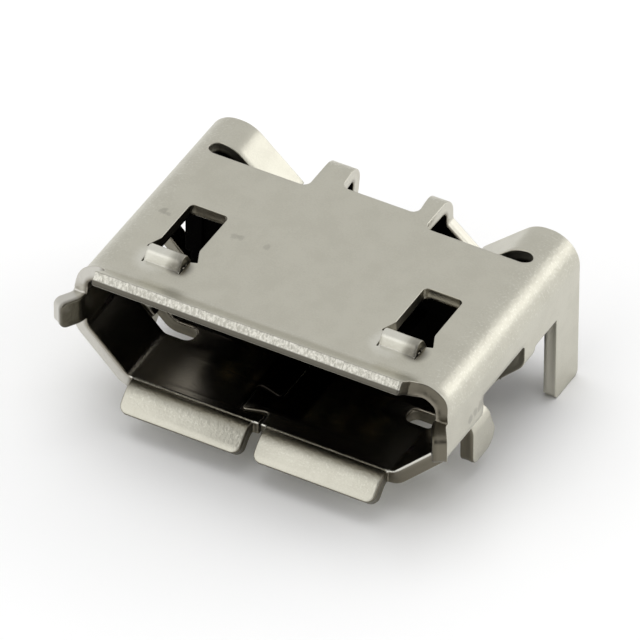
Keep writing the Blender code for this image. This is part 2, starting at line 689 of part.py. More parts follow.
def make_insulator(material):
    """The moulding: body and tongue, with a channel for each contact and room for the shell's folds."""
    body = extruded("insulator", insulator_outline(), INSULATOR_HALF_WIDTH)
    COLLECTION.objects.link(body)
    cut(body, extruded("tongue", tongue_outline(), TONGUE_HALF_WIDTH), "UNION")
    drop = (CORNER_START - RIBBON_TIP) * math.sin(math.radians(RIBBON_ANGLE)) + SHEET
    ribbon_clear = (RIBBON_TIP - HALF_SHEET, BAND_FRONT - 2 * INSULATOR_CLEARANCE, TOP - drop)
    for side, name in ((1.0, "right_room"), (-1.0, "left_room")):
        ends = sorted((side * ribbon_clear[0], side * OUTER_HALF_WIDTH))
        low = (ends[0], ribbon_clear[1], ribbon_clear[2])
        high = (ends[1], WALL_DEPTH + SHEET, TOP + SHEET)
        cut(body, block(name, low, high), "DIFFERENCE")
        ends = sorted((side * (INSULATOR_HALF_WIDTH - CHAMFER_ROOM), side * OUTER_HALF_WIDTH))
        low = (ends[0], 0.0, 0.0)
        high = (ends[1], FLOOR_DEPTH + 2 * INSULATOR_CLEARANCE, SHEET + CHAMFER_ROOM)
        cut(body, block(name + "_below", low, high), "DIFFERENCE")
    chain, start = contact_chain()
    thickness = CONTACT_THICKNESS + 2 * CHANNEL_CLEARANCE
    outline = strip_outline(chain, thickness, start, True, CHANNEL_CLEARANCE)
    for number, x in enumerate(contact_places()):
        tool = extruded("channel_" + str(number + 1), outline, CONTACT_WIDTH / 2 + CHANNEL_CLEARANCE)
        for vert in tool.data.vertices:
            vert.co.x += x
        cut(body, tool, "DIFFERENCE")
    depsgraph = bpy.context.evaluated_depsgraph_get()
    mesh = bpy.data.meshes.new_from_object(body.evaluated_get(depsgraph))
    bpy.data.objects.remove(body)
    bm = bmesh.new()
    bm.from_mesh(mesh)
    bpy.data.meshes.remove(mesh)
    bmesh.ops.remove_doubles(bm, verts=bm.verts, dist=WELD)
    bmesh.ops.triangulate(bm, faces=bm.faces)
    co = np.array([vert.co[:] for vert in bm.verts])
    return place(bm, "insulator", material, co[:, 0], co[:, 1], co[:, 2])


def make_material(name, colour, metallic, roughness):
    material = bpy.data.materials.new(name)
    material.use_nodes = True
    shader = material.node_tree.nodes["Principled BSDF"]
    shader.inputs["Base Color"].default_value = (*colour, 1.0)
    shader.inputs["Metallic"].default_value = metallic
    shader.inputs["Roughness"].default_value = roughness
    return material


def new_collection(name):
    collection = bpy.data.collections.new(name)
    bpy.context.scene.collection.children.link(collection)
    return collection


for old in list(bpy.data.objects):
    bpy.data.objects.remove(old)

COLLECTION = new_collection("micro_usb_socket")
CUTTERS = new_collection("cutters")

make_shell(make_material("tin_plated_sheet", (0.56, 0.54, 0.48), 1.0, 0.34))
make_insulator(make_material("black_moulding", (0.012, 0.012, 0.013), 0.0, 0.45))
make_contacts(make_material("gilded_bronze", (0.83, 0.62, 0.28), 1.0, 0.28))
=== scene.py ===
"""Micro USB socket: the finish of its folded shell, moulding and contacts, with camera, floor and light.

The shell is one punched blank. Its outlines are swept with the profile of a punched edge, the plate is
cut along its bend lines, and a function of the flat place carries every point round the bends. The flat
place stays on the mesh as an attribute, so that grain, bends and cut edges can be told apart.
Sizes are in millimetres and become metres when a mesh is finished.
"""

import math

import bmesh
import bpy
import numpy as np
from mathutils import Matrix, Vector


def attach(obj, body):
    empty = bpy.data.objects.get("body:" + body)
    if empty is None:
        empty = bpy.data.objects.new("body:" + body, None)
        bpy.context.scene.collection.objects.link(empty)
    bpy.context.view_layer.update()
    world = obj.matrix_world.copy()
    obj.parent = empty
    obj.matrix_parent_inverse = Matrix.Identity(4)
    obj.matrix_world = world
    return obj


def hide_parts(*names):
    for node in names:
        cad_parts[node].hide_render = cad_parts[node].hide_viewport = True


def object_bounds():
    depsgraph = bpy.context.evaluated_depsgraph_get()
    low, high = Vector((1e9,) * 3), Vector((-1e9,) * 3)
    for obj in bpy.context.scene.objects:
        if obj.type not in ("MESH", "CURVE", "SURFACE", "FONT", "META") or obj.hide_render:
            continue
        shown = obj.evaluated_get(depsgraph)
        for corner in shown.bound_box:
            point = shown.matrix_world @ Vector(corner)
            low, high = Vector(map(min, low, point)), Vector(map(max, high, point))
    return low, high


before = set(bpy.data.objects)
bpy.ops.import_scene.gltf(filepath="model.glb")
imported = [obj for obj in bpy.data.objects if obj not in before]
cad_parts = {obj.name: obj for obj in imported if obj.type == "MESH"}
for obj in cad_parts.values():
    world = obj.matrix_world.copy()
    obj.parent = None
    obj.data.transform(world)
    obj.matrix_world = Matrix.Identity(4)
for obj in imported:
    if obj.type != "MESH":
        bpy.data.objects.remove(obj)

CAD_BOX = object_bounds()
MM = 0.001
WELD = 1e-5

# Sheet and mouth
SHEET = 0.26
MOUTH_WIDTH = 6.88
MOUTH_HEIGHT = 1.85
CORNER_INSIDE_RADIUS = 0.32
CHAMFER_WIDTH = 0.96
CHAMFER_HEIGHT = 0.98
CHAMFER_INSIDE_RADIUS = 0.15

# Depths, from the plane of the mouth
ORIGIN_DEPTH = 0.55
TOP_DEPTH = 3.82
TOP_MIDDLE_DEPTH = 4.10
FLOOR_DEPTH = 3.22
WALL_DEPTH = 4.855

# Flares round the mouth
LIP_HALF_WIDTH = 3.02
LIP_START = 0.344
LIP_ANGLE = 36.0
LIP_RADIUS = 0.50
LIP_RUN = 0.57
CORNER_EDGE_REACH = 0.20
CORNER_EDGE_DEPTH = 0.05
CORNER_EDGE_WIDTH = 0.24
CORNER_EDGE_ANGLE = 50.0
CORNER_FLARE_FROM = 45.0
CORNER_FLARE_TO = 80.0
EAR_ABOVE_BEND = 0.08
EAR_HEIGHT = 0.56
EAR_ANGLE = 32.0
EAR_RADIUS = 0.15
EAR_RUN = 0.33
FLAP_HALF_WIDTH = 2.54
FLAP_GAP = 0.26
FLAP_ANGLE = 45.0
FLAP_RADIUS = 0.19
FLAP_RUN = 0.34

# Dovetail in the floor seam
SEAM_GAP = 0.03
DOVETAIL_REACH = 0.50
DOVETAIL_NECK = 0.44
DOVETAIL_HEAD = 0.72

# Windows in the top, each with a spring finger
WINDOW_INNER = 1.95
WINDOW_WIDTH = 0.755
WINDOW_BACK = 2.42
WINDOW_SHOULDER = 1.36
WINDOW_CORNER = 0.10
NOTCH_DEPTH = 1.03
NOTCH_REACH = 0.12
FINGER_ROOT = 0.68
FINGER_SLIT = 0.02
FINGER_RISE_ANGLE = 60.0
FINGER_FALL_ANGLE = 62.0
FINGER_ROOT_RADIUS = 0.15
FINGER_CREST_RADIUS = 0.02
FINGER_RISE_RUN = 0.13
FINGER_FALL_RUN = 0.50

# Side openings: each front leg is folded outwards and down from the lower edge of one
OPENING_TOP = 1.45
OPENING_BACK = 2.83
OPENING_CORNER = 0.10
OPENING_REACH = 0.64
SLOT_FRONT = 1.32
SLOT_WIDTH = 0.36
SLOT_INNER = 2.13
SLOT_CORNER = 0.15
SLOT_BRIDGE = 0.12
FRONT_LEG_SLIT = 0.05
FRONT_LEG_WIDTH = 0.82
FRONT_LEG_ROOT_WIDTH = 0.56
FRONT_LEG_ARC_WIDTH = 0.67
FRONT_LEG_SHOULDER = 0.79
FRONT_LEG_CORNER = 0.20
FRONT_LEG_ROUND = 0.33
FRONT_LEG_RADIUS = 0.05
FRONT_LEG_RUN = 0.70

# Back of the shell
SLOT_BEHIND_TOP = 0.30
SLOT_OUTER = 3.20
RIBBON_CREST = 0.05
RIBBON_ANGLE = 42.0
RIBBON_RADIUS = 0.37
RIBBON_RUN = 1.15
LEG_FRONT = 4.02
LEG_BELOW_BOARD = 0.70
LEG_TIP_CORNER = 0.07
ARM_INNER = 0.75
ARM_WIDTH = 0.42
ARM_FILLET = 0.14
ARMS_HOLE_DROP = 0.95
ARMS_HOLE_SHIFT = 0.11
REAR_BEND_START = 4.50
REAR_BEND_RADIUS = 0.13
SHOULDER_DROP = 0.55
SHOULDER_SLOPE = 1.25
REAR_FLAP_HALF_WIDTH = 2.60
REAR_FLAP_ABOVE_BOARD = 0.35

# Ledges, cheeks and feet of the moulding along the side walls
LEDGE_CLEARANCE = 0.04
LEDGE_WIDTH = 0.75
LEDGE_BOTTOM = 1.20
LEDGE_TOP = 1.80
LEDGE_FRONT = 3.30
LEDGE_BACK = 4.78
FOOT_HALF_WIDTH = 3.00
CHEEK_FRONT = 2.69
CHEEK_BOTTOM = 1.00
CHEEK_TOP = 1.95
FOOT_FRONT = 3.27
FOOT_BACK = 4.50
LEDGE_BEVEL_SHARE = 0.6

# Worked out from the sizes above
HALF_SHEET = SHEET / 2
OUTER_HALF_WIDTH = MOUTH_WIDTH / 2 + SHEET
TOP = MOUTH_HEIGHT + 2 * SHEET
CORNER_OUTSIDE_RADIUS = CORNER_INSIDE_RADIUS + SHEET
CHAMFER_OUTSIDE_RADIUS = CHAMFER_INSIDE_RADIUS + SHEET
WALL_TO_CHAMFER = math.atan2(CHAMFER_WIDTH, CHAMFER_HEIGHT)
CHAMFER_TO_FLOOR = math.pi / 2 - WALL_TO_CHAMFER
UPPER_TANGENT = CHAMFER_OUTSIDE_RADIUS * math.tan(WALL_TO_CHAMFER / 2)
LOWER_TANGENT = CHAMFER_OUTSIDE_RADIUS * math.tan(CHAMFER_TO_FLOOR / 2)
BEND_LINE_HEIGHT = CHAMFER_HEIGHT + UPPER_TANGENT
FLOOR_HALF_FLAT = OUTER_HALF_WIDTH - CHAMFER_WIDTH - LOWER_TANGENT
BAND_FRONT = TOP_DEPTH + SLOT_BEHIND_TOP

# Fineness of the meshes, rounding of their edges and the ridge at the mouth
BEND_STEP = math.radians(5.0)
GRID_STEP = 0.18
ARC_STEPS = 8
PUNCHED_CORNER = 0.035
SEAM_CORNER = 0.10
CORNER_POINTS = 5
CORNER_PARTS = 3.0
SHARP_TURN = 20.0
NARROWEST_SHARE = 0.3
RIDGE_HEIGHT = 0.012
RIDGE_WIDTH = 0.018
RIDGE_CUTS = np.linspace(-2.0, 2.0, 9)
FLAT_FACE_ANGLE = math.radians(0.2)
FLAT_NODE_ANGLE = math.radians(1.0)
SHELL_SHARP_ANGLE = math.radians(50.0)
SOFTENED_SHARP_ANGLE = math.radians(40.0)
ROUNDED_ANGLE = math.radians(30.0)
ROUNDED_SEGMENTS = 2
CONTACT_COUNT = 5
MOULDING_ROUNDING = 0.03
CONTACT_ROUNDING = 0.02

# How far each part of the sheet is stretched, and the soft ends of the stretched zones
CORNER_STRETCH = 0.8
FOLD_STRETCH = 0.7
LIP_STRETCH = 0.6
FLAP_STRETCH = 0.75
EAR_STRETCH = 0.3
FINGER_STRETCH = 0.25
REAR_STRETCH = 0.8
STRETCH_SOFT = 0.12
LIP_STRETCH_GAP = 0.1
FLAP_STRETCH_GAP = 0.02

# Where the inner face starts to look into the socket and is painted dark as shade, how far the ears' inner
# faces get that painted shade, and the gap at the front legs
ENCLOSED_START = -0.26
ENCLOSED_RUN = 0.28
EAR_SHADE_SHARE = 0.95
HOOK_ROOT_GAP = 0.01

# The punched edge from the outer face to the inner: how far in, and the height over the middle layer
EDGE_PROFILE = np.array([
    (0.012, HALF_SHEET), (0.003, 0.124), (0.0, 0.113), (0.005, 0.085), (0.007, 0.045), (0.008, 0.005),
    (0.003, -0.030), (0.0, -0.045), (0.0, -0.082), (0.005, -0.106), (0.016, -0.123), (0.034, -HALF_SHEET),
])


# Folding

def run(length):
    """A straight stretch of sheet: its length, and no turn."""
    return (length, 0.0)


def bend(degrees, radius):
    """A bend of the sheet's middle layer: its length is the angle times the radius.

    It turns towards the normal when the angle is positive.
    """
    angle = math.radians(degrees)
    return (abs(angle) * radius, angle)


def follow(chain, distance):
    """Place and heading at each distance along a chain of runs and bends.

    On a run the place moves by length times the cosine and sine of the heading; on a bend the heading
    grows evenly and the place moves by the difference of its sines and cosines over the curvature.
    """
    along = np.zeros_like(distance)
    rise = np.zeros_like(distance)
    heading = np.zeros_like(distance)
    start = 0.0
    angle = 0.0
    for number, (length, turn) in enumerate(chain):
        limit = None if number == len(chain) - 1 else length
        step = np.clip(distance - start, 0.0, limit)
        if turn == 0.0:
            along += step * math.cos(angle)
            rise += step * math.sin(angle)
        else:
            curvature = turn / length
            along += (np.sin(angle + curvature * step) - math.sin(angle)) / curvature
            rise += (math.cos(angle) - np.cos(angle + curvature * step)) / curvature
            heading += curvature * step
        start += length
        angle += turn
    return along, rise, heading


def smooth(value):
    """A ramp from 0 to 1 with soft ends: three times the square less twice the cube."""
    t = np.clip(value, 0.0, 1.0)
    return t * t * (3.0 - 2.0 * t)


def chain_length(chain):
    """Length of a chain: the sum of its runs and bends."""
    return sum(length for length, turn in chain)


SECTION = [
    run(OUTER_HALF_WIDTH - CORNER_OUTSIDE_RADIUS),
    bend(-90.0, CORNER_OUTSIDE_RADIUS - HALF_SHEET),
    run(TOP - CORNER_OUTSIDE_RADIUS - BEND_LINE_HEIGHT),
    bend(-math.degrees(WALL_TO_CHAMFER), CHAMFER_OUTSIDE_RADIUS - HALF_SHEET),
    run(math.hypot(CHAMFER_WIDTH, CHAMFER_HEIGHT) - UPPER_TANGENT - LOWER_TANGENT),
    bend(-math.degrees(CHAMFER_TO_FLOOR), CHAMFER_OUTSIDE_RADIUS - HALF_SHEET),
    run(FLOOR_HALF_FLAT),
]
STATIONS = np.cumsum([length for length, turn in SECTION])
CORNER_START, CORNER_END, WALL_END, CHAMFER_START, CHAMFER_END, FLOOR_START, SEAM = STATIONS

LIP = [bend(LIP_ANGLE, LIP_RADIUS + HALF_SHEET), run(LIP_RUN)]
EAR = [bend(EAR_ANGLE, EAR_RADIUS + HALF_SHEET), run(EAR_RUN)]
FLAP = [bend(FLAP_ANGLE, FLAP_RADIUS + HALF_SHEET), run(FLAP_RUN)]
REAR = [bend(-90.0, REAR_BEND_RADIUS + HALF_SHEET), run(TOP)]
RIBBON = [run(RIBBON_CREST), bend(-RIBBON_ANGLE, RIBBON_RADIUS + HALF_SHEET), run(RIBBON_RUN)]
HOOK = [bend(180.0 - math.degrees(WALL_TO_CHAMFER), FRONT_LEG_RADIUS + HALF_SHEET), run(FRONT_LEG_RUN)]
FINGER = [
    bend(FINGER_RISE_ANGLE, FINGER_ROOT_RADIUS),
    run(FINGER_RISE_RUN),
    bend(-FINGER_RISE_ANGLE - FINGER_FALL_ANGLE, FINGER_CREST_RADIUS),
    run(FINGER_FALL_RUN),
]


def wall_station(height):
    """Distance round the section to a height on the side wall: the corner's end, plus the drop from it."""
    return CORNER_END + TOP - CORNER_OUTSIDE_RADIUS - height


def floor_station(x):
    """Distance round the section to a place on the floor: to its middle, less the place."""
    return FLOOR_START + FLOOR_HALF_FLAT - x


LIP_END = LIP_START - chain_length(LIP)
EAR_END = -chain_length(EAR)
FLAP_END = -chain_length(FLAP)
EAR_TOP = wall_station(BEND_LINE_HEIGHT + EAR_ABOVE_BEND + EAR_HEIGHT)
EAR_BOTTOM = wall_station(BEND_LINE_HEIGHT + EAR_ABOVE_BEND)
RIBBON_TIP = CORNER_START - chain_length(RIBBON)
LEG_END = wall_station(-LEG_BELOW_BOARD)
REAR_BEND_END = REAR_BEND_START + REAR[0][0]
REAR_BEND_DROP = REAR_BEND_RADIUS + SHEET
HOOK_ROOT = CHAMFER_START + OPENING_REACH
HOOK_TIP = HOOK_ROOT - chain_length(HOOK)
FRONT_LEG_FRONT = SLOT_FRONT + FRONT_LEG_SLIT
FRONT_LEG_BACK = FRONT_LEG_FRONT + FRONT_LEG_WIDTH
FINGER_END = FINGER_ROOT + chain_length(FINGER)
FINGER_CREST = FINGER_ROOT + FINGER[0][0] + FINGER_RISE_RUN
WINDOW_OUTER = WINDOW_INNER + WINDOW_WIDTH
ARM_OUTER = ARM_INNER + ARM_WIDTH


def rear_depth(drop):
    """Flat depth of a place on the rear flap: the bend's end, plus the drop below that end."""
    return REAR_BEND_END + drop - REAR_BEND_DROP


def on_finger(s, y):
    """Where the blank is spring finger: between its slits, from its root to the middle of its end's gap."""
    inside = (s > WINDOW_INNER + FINGER_SLIT / 2) & (s < WINDOW_OUTER - FINGER_SLIT / 2)
    return inside & (y > FINGER_ROOT) & (y < (FINGER_END + WINDOW_BACK) / 2)


def on_arms(s, y):
    """Where the blank is rear flap or arm: behind the bend's start and inside the gap to the ribbon."""
    arms = (y > REAR_BEND_START) & (s < (ARM_OUTER + RIBBON_TIP) / 2)
    return arms | (y > (WALL_DEPTH + rear_depth(SHOULDER_DROP)) / 2)


def on_ribbon(s, y):
    """Where the blank is ribbon: behind the middle of the slot, between the arm's gap and the corner."""
    inside = (y > (TOP_DEPTH + BAND_FRONT) / 2) & (s < CORNER_START) & ~on_arms(s, y)
    return inside & (s > (ARM_OUTER + RIBBON_TIP) / 2)


def on_front_leg(s, y, root):
    """Where the blank is front leg: between the middles of the gaps round it, down to its root."""
    inside = (y > FRONT_LEG_FRONT - FRONT_LEG_SLIT / 2) & (y < (FRONT_LEG_BACK + OPENING_BACK) / 2)
    return inside & (s > (HOOK_TIP + wall_station(OPENING_TOP)) / 2) & (s < root)


def on_rear_leg(s, y):
    """Where the blank is rear leg: behind the middle of the gap behind the floor, past the wall's end."""
    return (y > (FLOOR_DEPTH + LEG_FRONT) / 2) & (s > WALL_END)


def fold(s, y, lift):
    """Carries points of the flat blank to the folded shell.

    s is the distance round the section from the middle of the top, y the depth from the mouth, and
    lift the height above the sheet's middle layer. Each part of the blank follows its own chain of runs
    and bends, and the lift goes along the normal that the chains have turned. The ridge along the
    flaps' inner edge is a bell: e to the minus square of the depth over its width.
    """
    side = np.where(s < 0.0, -1.0, 1.0)
    s = np.abs(s)
    on_fold = (lift < 0.0) & (s > CHAMFER_END)
    lift = lift - np.where(on_fold, RIDGE_HEIGHT * np.exp(-((y / RIDGE_WIDTH) ** 2)), 0.0)
    x, z, turn = follow(SECTION, s)
    z = z + TOP - HALF_SHEET
    across = -np.sin(turn)
    up = np.cos(turn)
    back = np.zeros_like(s)
    depth = y.copy()

    corner_turn = np.degrees(-turn)
    fade = 1.0 - smooth((corner_turn - CORNER_FLARE_FROM) / (CORNER_FLARE_TO - CORNER_FLARE_FROM))
    on_wall = (s > CORNER_END) & (s <= WALL_END)
    flares = (
        (s <= CORNER_END, LIP_START, LIP, fade),
        (on_wall & (y < 0.0), 0.0, EAR, 1.0),
        ((s > CHAMFER_END) & (y < 0.0), 0.0, FLAP, 1.0),
    )
    for mask, start, chain, weight in flares:
        forward, out, tilt = follow(chain, np.where(mask, np.maximum(start - y, 0.0), 0.0))
        tilt = tilt * weight
        moved = mask & (y < start)
        depth = np.where(moved, start - forward, depth)
        x = x + across * out * weight
        z = z + up * out * weight
        back = np.where(moved, np.sin(tilt), back)
        across = np.where(moved, across * np.cos(tilt), across)
        up = np.where(moved, up * np.cos(tilt), up)

    raised = ((on_finger(s, y), FINGER_ROOT, FINGER), (on_arms(s, y), REAR_BEND_START, REAR))
    for mask, start, chain in raised:
        backward, out, tilt = follow(chain, np.where(mask, y - start, 0.0))
        depth = np.where(mask, start + backward, depth)
        z = z + out
        back = np.where(mask, -np.sin(tilt), back)
        up = np.where(mask, np.cos(tilt), up)

    in_ribbon = on_ribbon(s, y)
    inward, out, tilt = follow(RIBBON, np.where(in_ribbon, CORNER_START - s, 0.0))
    x = np.where(in_ribbon, CORNER_START - inward, x)
    z = np.where(in_ribbon, TOP - HALF_SHEET + out, z)
    across = np.where(in_ribbon, np.sin(tilt), across)
    up = np.where(in_ribbon, np.cos(tilt), up)

    in_hook = on_front_leg(s, y, HOOK_ROOT)
    root_x, root_z, root_turn = (float(value) for value in follow(SECTION, np.array(HOOK_ROOT)))
    root_z += TOP - HALF_SHEET
    outward, out, tilt = follow(HOOK, np.where(in_hook, HOOK_ROOT - s, 0.0))
    ahead = (-math.cos(root_turn), -math.sin(root_turn))
    away = (-math.sin(root_turn), math.cos(root_turn))
    x = np.where(in_hook, root_x + ahead[0] * outward + away[0] * out, x)
    z = np.where(in_hook, root_z + ahead[1] * outward + away[1] * out, z)
    across = np.where(in_hook, away[0] * np.cos(tilt) - ahead[0] * np.sin(tilt), across)
    up = np.where(in_hook, away[1] * np.cos(tilt) - ahead[1] * np.sin(tilt), up)

    in_rear_leg = on_rear_leg(s, y)
    x = np.where(in_rear_leg, OUTER_HALF_WIDTH - HALF_SHEET, x)
    z = np.where(in_rear_leg, BEND_LINE_HEIGHT - (s - WALL_END), z)
    across = np.where(in_rear_leg, 1.0, across)
    up = np.where(in_rear_leg, 0.0, up)

    x = (x + across * lift) * side
    return np.stack([x, depth + back * lift - ORIGIN_DEPTH, z + up * lift], axis=1) * MM


def zone(value, low, high, soft):
    """1 between two limits and 0 outside: a soft step up times a soft step down."""
    return smooth((value - low) / soft + 0.5) * smooth((high - value) / soft + 0.5)


def worked(s, y):
    """How far the sheet is stretched: the largest of its zones' values, and 0 on flat stretches."""
    s = np.abs(s)
    soft = STRETCH_SOFT
    ahead = y < FLOOR_DEPTH
    in_window = zone(s, WINDOW_INNER, WINDOW_OUTER, soft)
    zones = (
        (CORNER_STRETCH, zone(s, CORNER_START, CORNER_END, 3 * soft)),
        (FOLD_STRETCH, zone(s, WALL_END, CHAMFER_START, soft) * ahead),
        (FOLD_STRETCH, zone(s, CHAMFER_END, FLOOR_START, soft) * ahead),
        (LIP_STRETCH, zone(y, LIP_END, LIP_START - LIP_STRETCH_GAP, soft) * (s < CORNER_START)),
        (FLAP_STRETCH, zone(y, FLAP_END + FLAP_RUN / 2, -FLAP_STRETCH_GAP, 2 * soft) * (s > CHAMFER_END)),
        (EAR_STRETCH, zone(y, EAR_END - soft, 0.0, soft) * (s > CORNER_END) * (s < CHAMFER_START)),
        (FINGER_STRETCH, zone(y, FINGER_ROOT, FINGER_CREST + FINGER[2][0], soft) * in_window),
        (REAR_STRETCH, zone(y, REAR_BEND_START, REAR_BEND_END, soft) * (s < ARM_OUTER + ARM_FILLET)),
    )
    stretched = np.zeros_like(s)
    for weight, share in zones:
        stretched = np.maximum(stretched, weight * share)
    return stretched


def enclosed(s, y):
    """How far the sheet's inner face looks into the socket.

    It is a soft step at the mouth from 0 to 1, nearly 1 on the ears, and 0 on the legs, and it weights the
    painted shade of the inner face.
    """
    s = np.abs(s)
    share = smooth((y - ENCLOSED_START) / ENCLOSED_RUN)
    on_ear = (s > CORNER_END) & (s < CHAMFER_START) & (y < 0.0)
    share = np.where(on_ear, np.maximum(share, EAR_SHADE_SHARE), share)
    on_legs = on_front_leg(s, y, HOOK_ROOT - HOOK_ROOT_GAP) | on_rear_leg(s, y)
    return np.where(on_legs, 0.0, share)


# Outlines

def arc(centre, radius, start, stop, steps=ARC_STEPS):
    """Points round part of a circle: centre plus radius times cosine and sine, angles in degrees."""
    angles = np.radians(np.linspace(start, stop, steps + 1))
    return [(centre[0] + radius * math.cos(a), centre[1] + radius * math.sin(a)) for a in angles]


def seam_outline(reach, growth):
    """The seam's edge from front to back; the dovetail's tab reaches past it, its socket stays short."""
    edge = SEAM - SEAM_GAP / 2
    neck = DOVETAIL_NECK / 2 + growth
    head = DOVETAIL_HEAD / 2 + growth
    return [
        (edge, 0.0),
        (edge, ORIGIN_DEPTH - neck),
        (edge + reach, ORIGIN_DEPTH - head),
        (edge + reach, ORIGIN_DEPTH + head),
        (edge, ORIGIN_DEPTH + neck),
        (edge, FLOOR_DEPTH),
    ]


def half_outline(seam):
    """Outline of the right half of the blank, from the middle of the lip to the middle of the back.

    Beside the lip the corner's edge rises by the square of what is left of its width.
    """
    points = [(LIP_HALF_WIDTH, LIP_END)]
    for number in range(ARC_STEPS + 1):
        part = number / ARC_STEPS
        rise = (CORNER_EDGE_REACH + CORNER_EDGE_DEPTH) * (1.0 - part) ** 2
        points.append((LIP_HALF_WIDTH + CORNER_EDGE_WIDTH * part, CORNER_EDGE_DEPTH - rise))
    turned = (CORNER_END - CORNER_START) * CORNER_EDGE_ANGLE / 90.0
    points += [(CORNER_START + turned, CORNER_EDGE_DEPTH), (CORNER_END, 0.0), (EAR_TOP, 0.0)]
    ear_corner = EAR_HEIGHT / 4
    points += arc((EAR_TOP + ear_corner, EAR_END + ear_corner), ear_corner, 180.0, 270.0)
    points += arc((EAR_BOTTOM - ear_corner, EAR_END + ear_corner), ear_corner, 270.0, 360.0)
    points += [(EAR_BOTTOM, 0.0), (floor_station(FLAP_HALF_WIDTH), 0.0)]
    flap_corner = FLAP_RUN / 2
    flap_outer = floor_station(FLAP_HALF_WIDTH) + flap_corner
    flap_inner = floor_station(FLAP_GAP / 2) - flap_corner
    points += arc((flap_outer, FLAP_END + flap_corner), flap_corner, 180.0, 270.0)
    points += arc((flap_inner, FLAP_END + flap_corner), flap_corner, 270.0, 360.0)
    points += [(floor_station(FLAP_GAP / 2), 0.0)]
    points += seam
    points += [(WALL_END, FLOOR_DEPTH), (WALL_END, LEG_FRONT)]
    points += [(LEG_END - LEG_TIP_CORNER, LEG_FRONT), (LEG_END, LEG_FRONT + LEG_TIP_CORNER)]
    points += [(LEG_END, WALL_DEPTH - LEG_TIP_CORNER), (LEG_END - LEG_TIP_CORNER, WALL_DEPTH)]
    points += [(RIBBON_TIP, WALL_DEPTH), (RIBBON_TIP, BAND_FRONT)]
    half_slot = SLOT_BEHIND_TOP / 2
    points += arc((SLOT_OUTER - half_slot, TOP_DEPTH + half_slot), half_slot, 90.0, -90.0, 2 * ARC_STEPS)
    points += arc((ARM_OUTER + ARM_FILLET, TOP_DEPTH + ARM_FILLET), ARM_FILLET, 270.0, 180.0)
    points += [(ARM_OUTER, rear_depth(SHOULDER_DROP))]
    points += [(REAR_FLAP_HALF_WIDTH, rear_depth(SHOULDER_DROP + SHOULDER_SLOPE))]
    points += [(REAR_FLAP_HALF_WIDTH, rear_depth(TOP - REAR_FLAP_ABOVE_BOARD))]
    return points


def blank_outline():
    """The whole blank: the right half with the tab, and the left half with the socket."""
    right = half_outline(seam_outline(DOVETAIL_REACH, -SEAM_GAP / 2))
    left = half_outline(seam_outline(-DOVETAIL_REACH, SEAM_GAP / 2))
    return right + [(-s, y) for s, y in reversed(left)]


def window_outline():
    """The right window, whose outline runs round its spring finger."""
    inner = WINDOW_INNER + FINGER_SLIT
    outer = WINDOW_OUTER - FINGER_SLIT
    r = WINDOW_CORNER
    front = FINGER_ROOT - FINGER_SLIT
    notch_front = NOTCH_DEPTH + NOTCH_REACH / 3
    notch_back = NOTCH_DEPTH + NOTCH_REACH / 2
    points = [(WINDOW_INNER, front), (WINDOW_INNER, NOTCH_DEPTH)]
    points += [(WINDOW_INNER - NOTCH_REACH, notch_front)]
    points += [(WINDOW_INNER - NOTCH_REACH, notch_back), (WINDOW_INNER, WINDOW_SHOULDER)]
    points += arc((WINDOW_INNER + r, WINDOW_BACK - r), r, 180.0, 90.0)
    points += arc((WINDOW_OUTER - r, WINDOW_BACK - r), r, 90.0, 0.0)
    points += [(WINDOW_OUTER, WINDOW_SHOULDER), (WINDOW_OUTER + NOTCH_REACH, notch_back)]
    points += [(WINDOW_OUTER + NOTCH_REACH, notch_front), (WINDOW_OUTER, NOTCH_DEPTH)]
    points += [(WINDOW_OUTER, front), (outer, front)]
    points += [(outer, FINGER_END), (inner, FINGER_END), (inner, front)]
    return points


def opening_outline():
    """The right side opening with the slot below it, round the front leg that hangs on its lower edge."""
    top = wall_station(OPENING_TOP)
    r = OPENING_CORNER
    slot_end = floor_station(SLOT_INNER)
    slot_back = SLOT_FRONT + SLOT_WIDTH
    slot_r = SLOT_CORNER
    leg_r = FRONT_LEG_CORNER
    leg_round = FRONT_LEG_ROUND
    points = [(top, SLOT_FRONT)]
    points += arc((top + r, OPENING_BACK - r), r, 180.0, 90.0)
    points += arc((HOOK_ROOT - r, OPENING_BACK - r), r, 90.0, 0.0)
    points += [(HOOK_ROOT, FRONT_LEG_FRONT + FRONT_LEG_ROOT_WIDTH)]
    points += [(HOOK_ROOT - HOOK[0][0], FRONT_LEG_FRONT + FRONT_LEG_ARC_WIDTH)]
    points += [(HOOK_ROOT - FRONT_LEG_SHOULDER, FRONT_LEG_BACK)]
    points += arc((HOOK_TIP + leg_round, FRONT_LEG_BACK - leg_round), leg_round, 90.0, 180.0)
    points += arc((HOOK_TIP + leg_r, FRONT_LEG_FRONT + leg_r), leg_r, 180.0, 270.0)
    points += [(HOOK_ROOT + SLOT_BRIDGE, FRONT_LEG_FRONT), (HOOK_ROOT + SLOT_BRIDGE, slot_back)]
    points += arc((slot_end - slot_r, slot_back - slot_r), slot_r, 90.0, 0.0)
    points += arc((slot_end - slot_r, SLOT_FRONT + slot_r), slot_r, 0.0, -90.0)
    return points


def arms_outline():
    """The hole between the two arms of the rear flap, whose front edge lies a little to the right."""
    r = ARM_FILLET
    back = rear_depth(ARMS_HOLE_DROP)
    points = arc((ARMS_HOLE_SHIFT - ARM_INNER + r, TOP_MIDDLE_DEPTH + r), r, 180.0, 270.0)
    points += arc((ARMS_HOLE_SHIFT + ARM_INNER - r, TOP_MIDDLE_DEPTH + r), r, 270.0, 360.0)
    points += [(ARM_INNER, back), (-ARM_INNER, back)]
    return points


# The blank as a mesh

def directions(loop):
    """Unit directions of the edges that reach and leave each point: differences over their lengths."""
    leaving = np.roll(loop, -1, axis=0) - loop
    leaving = leaving / np.linalg.norm(leaving, axis=1, keepdims=True)
    return np.roll(leaving, 1, axis=0), leaving


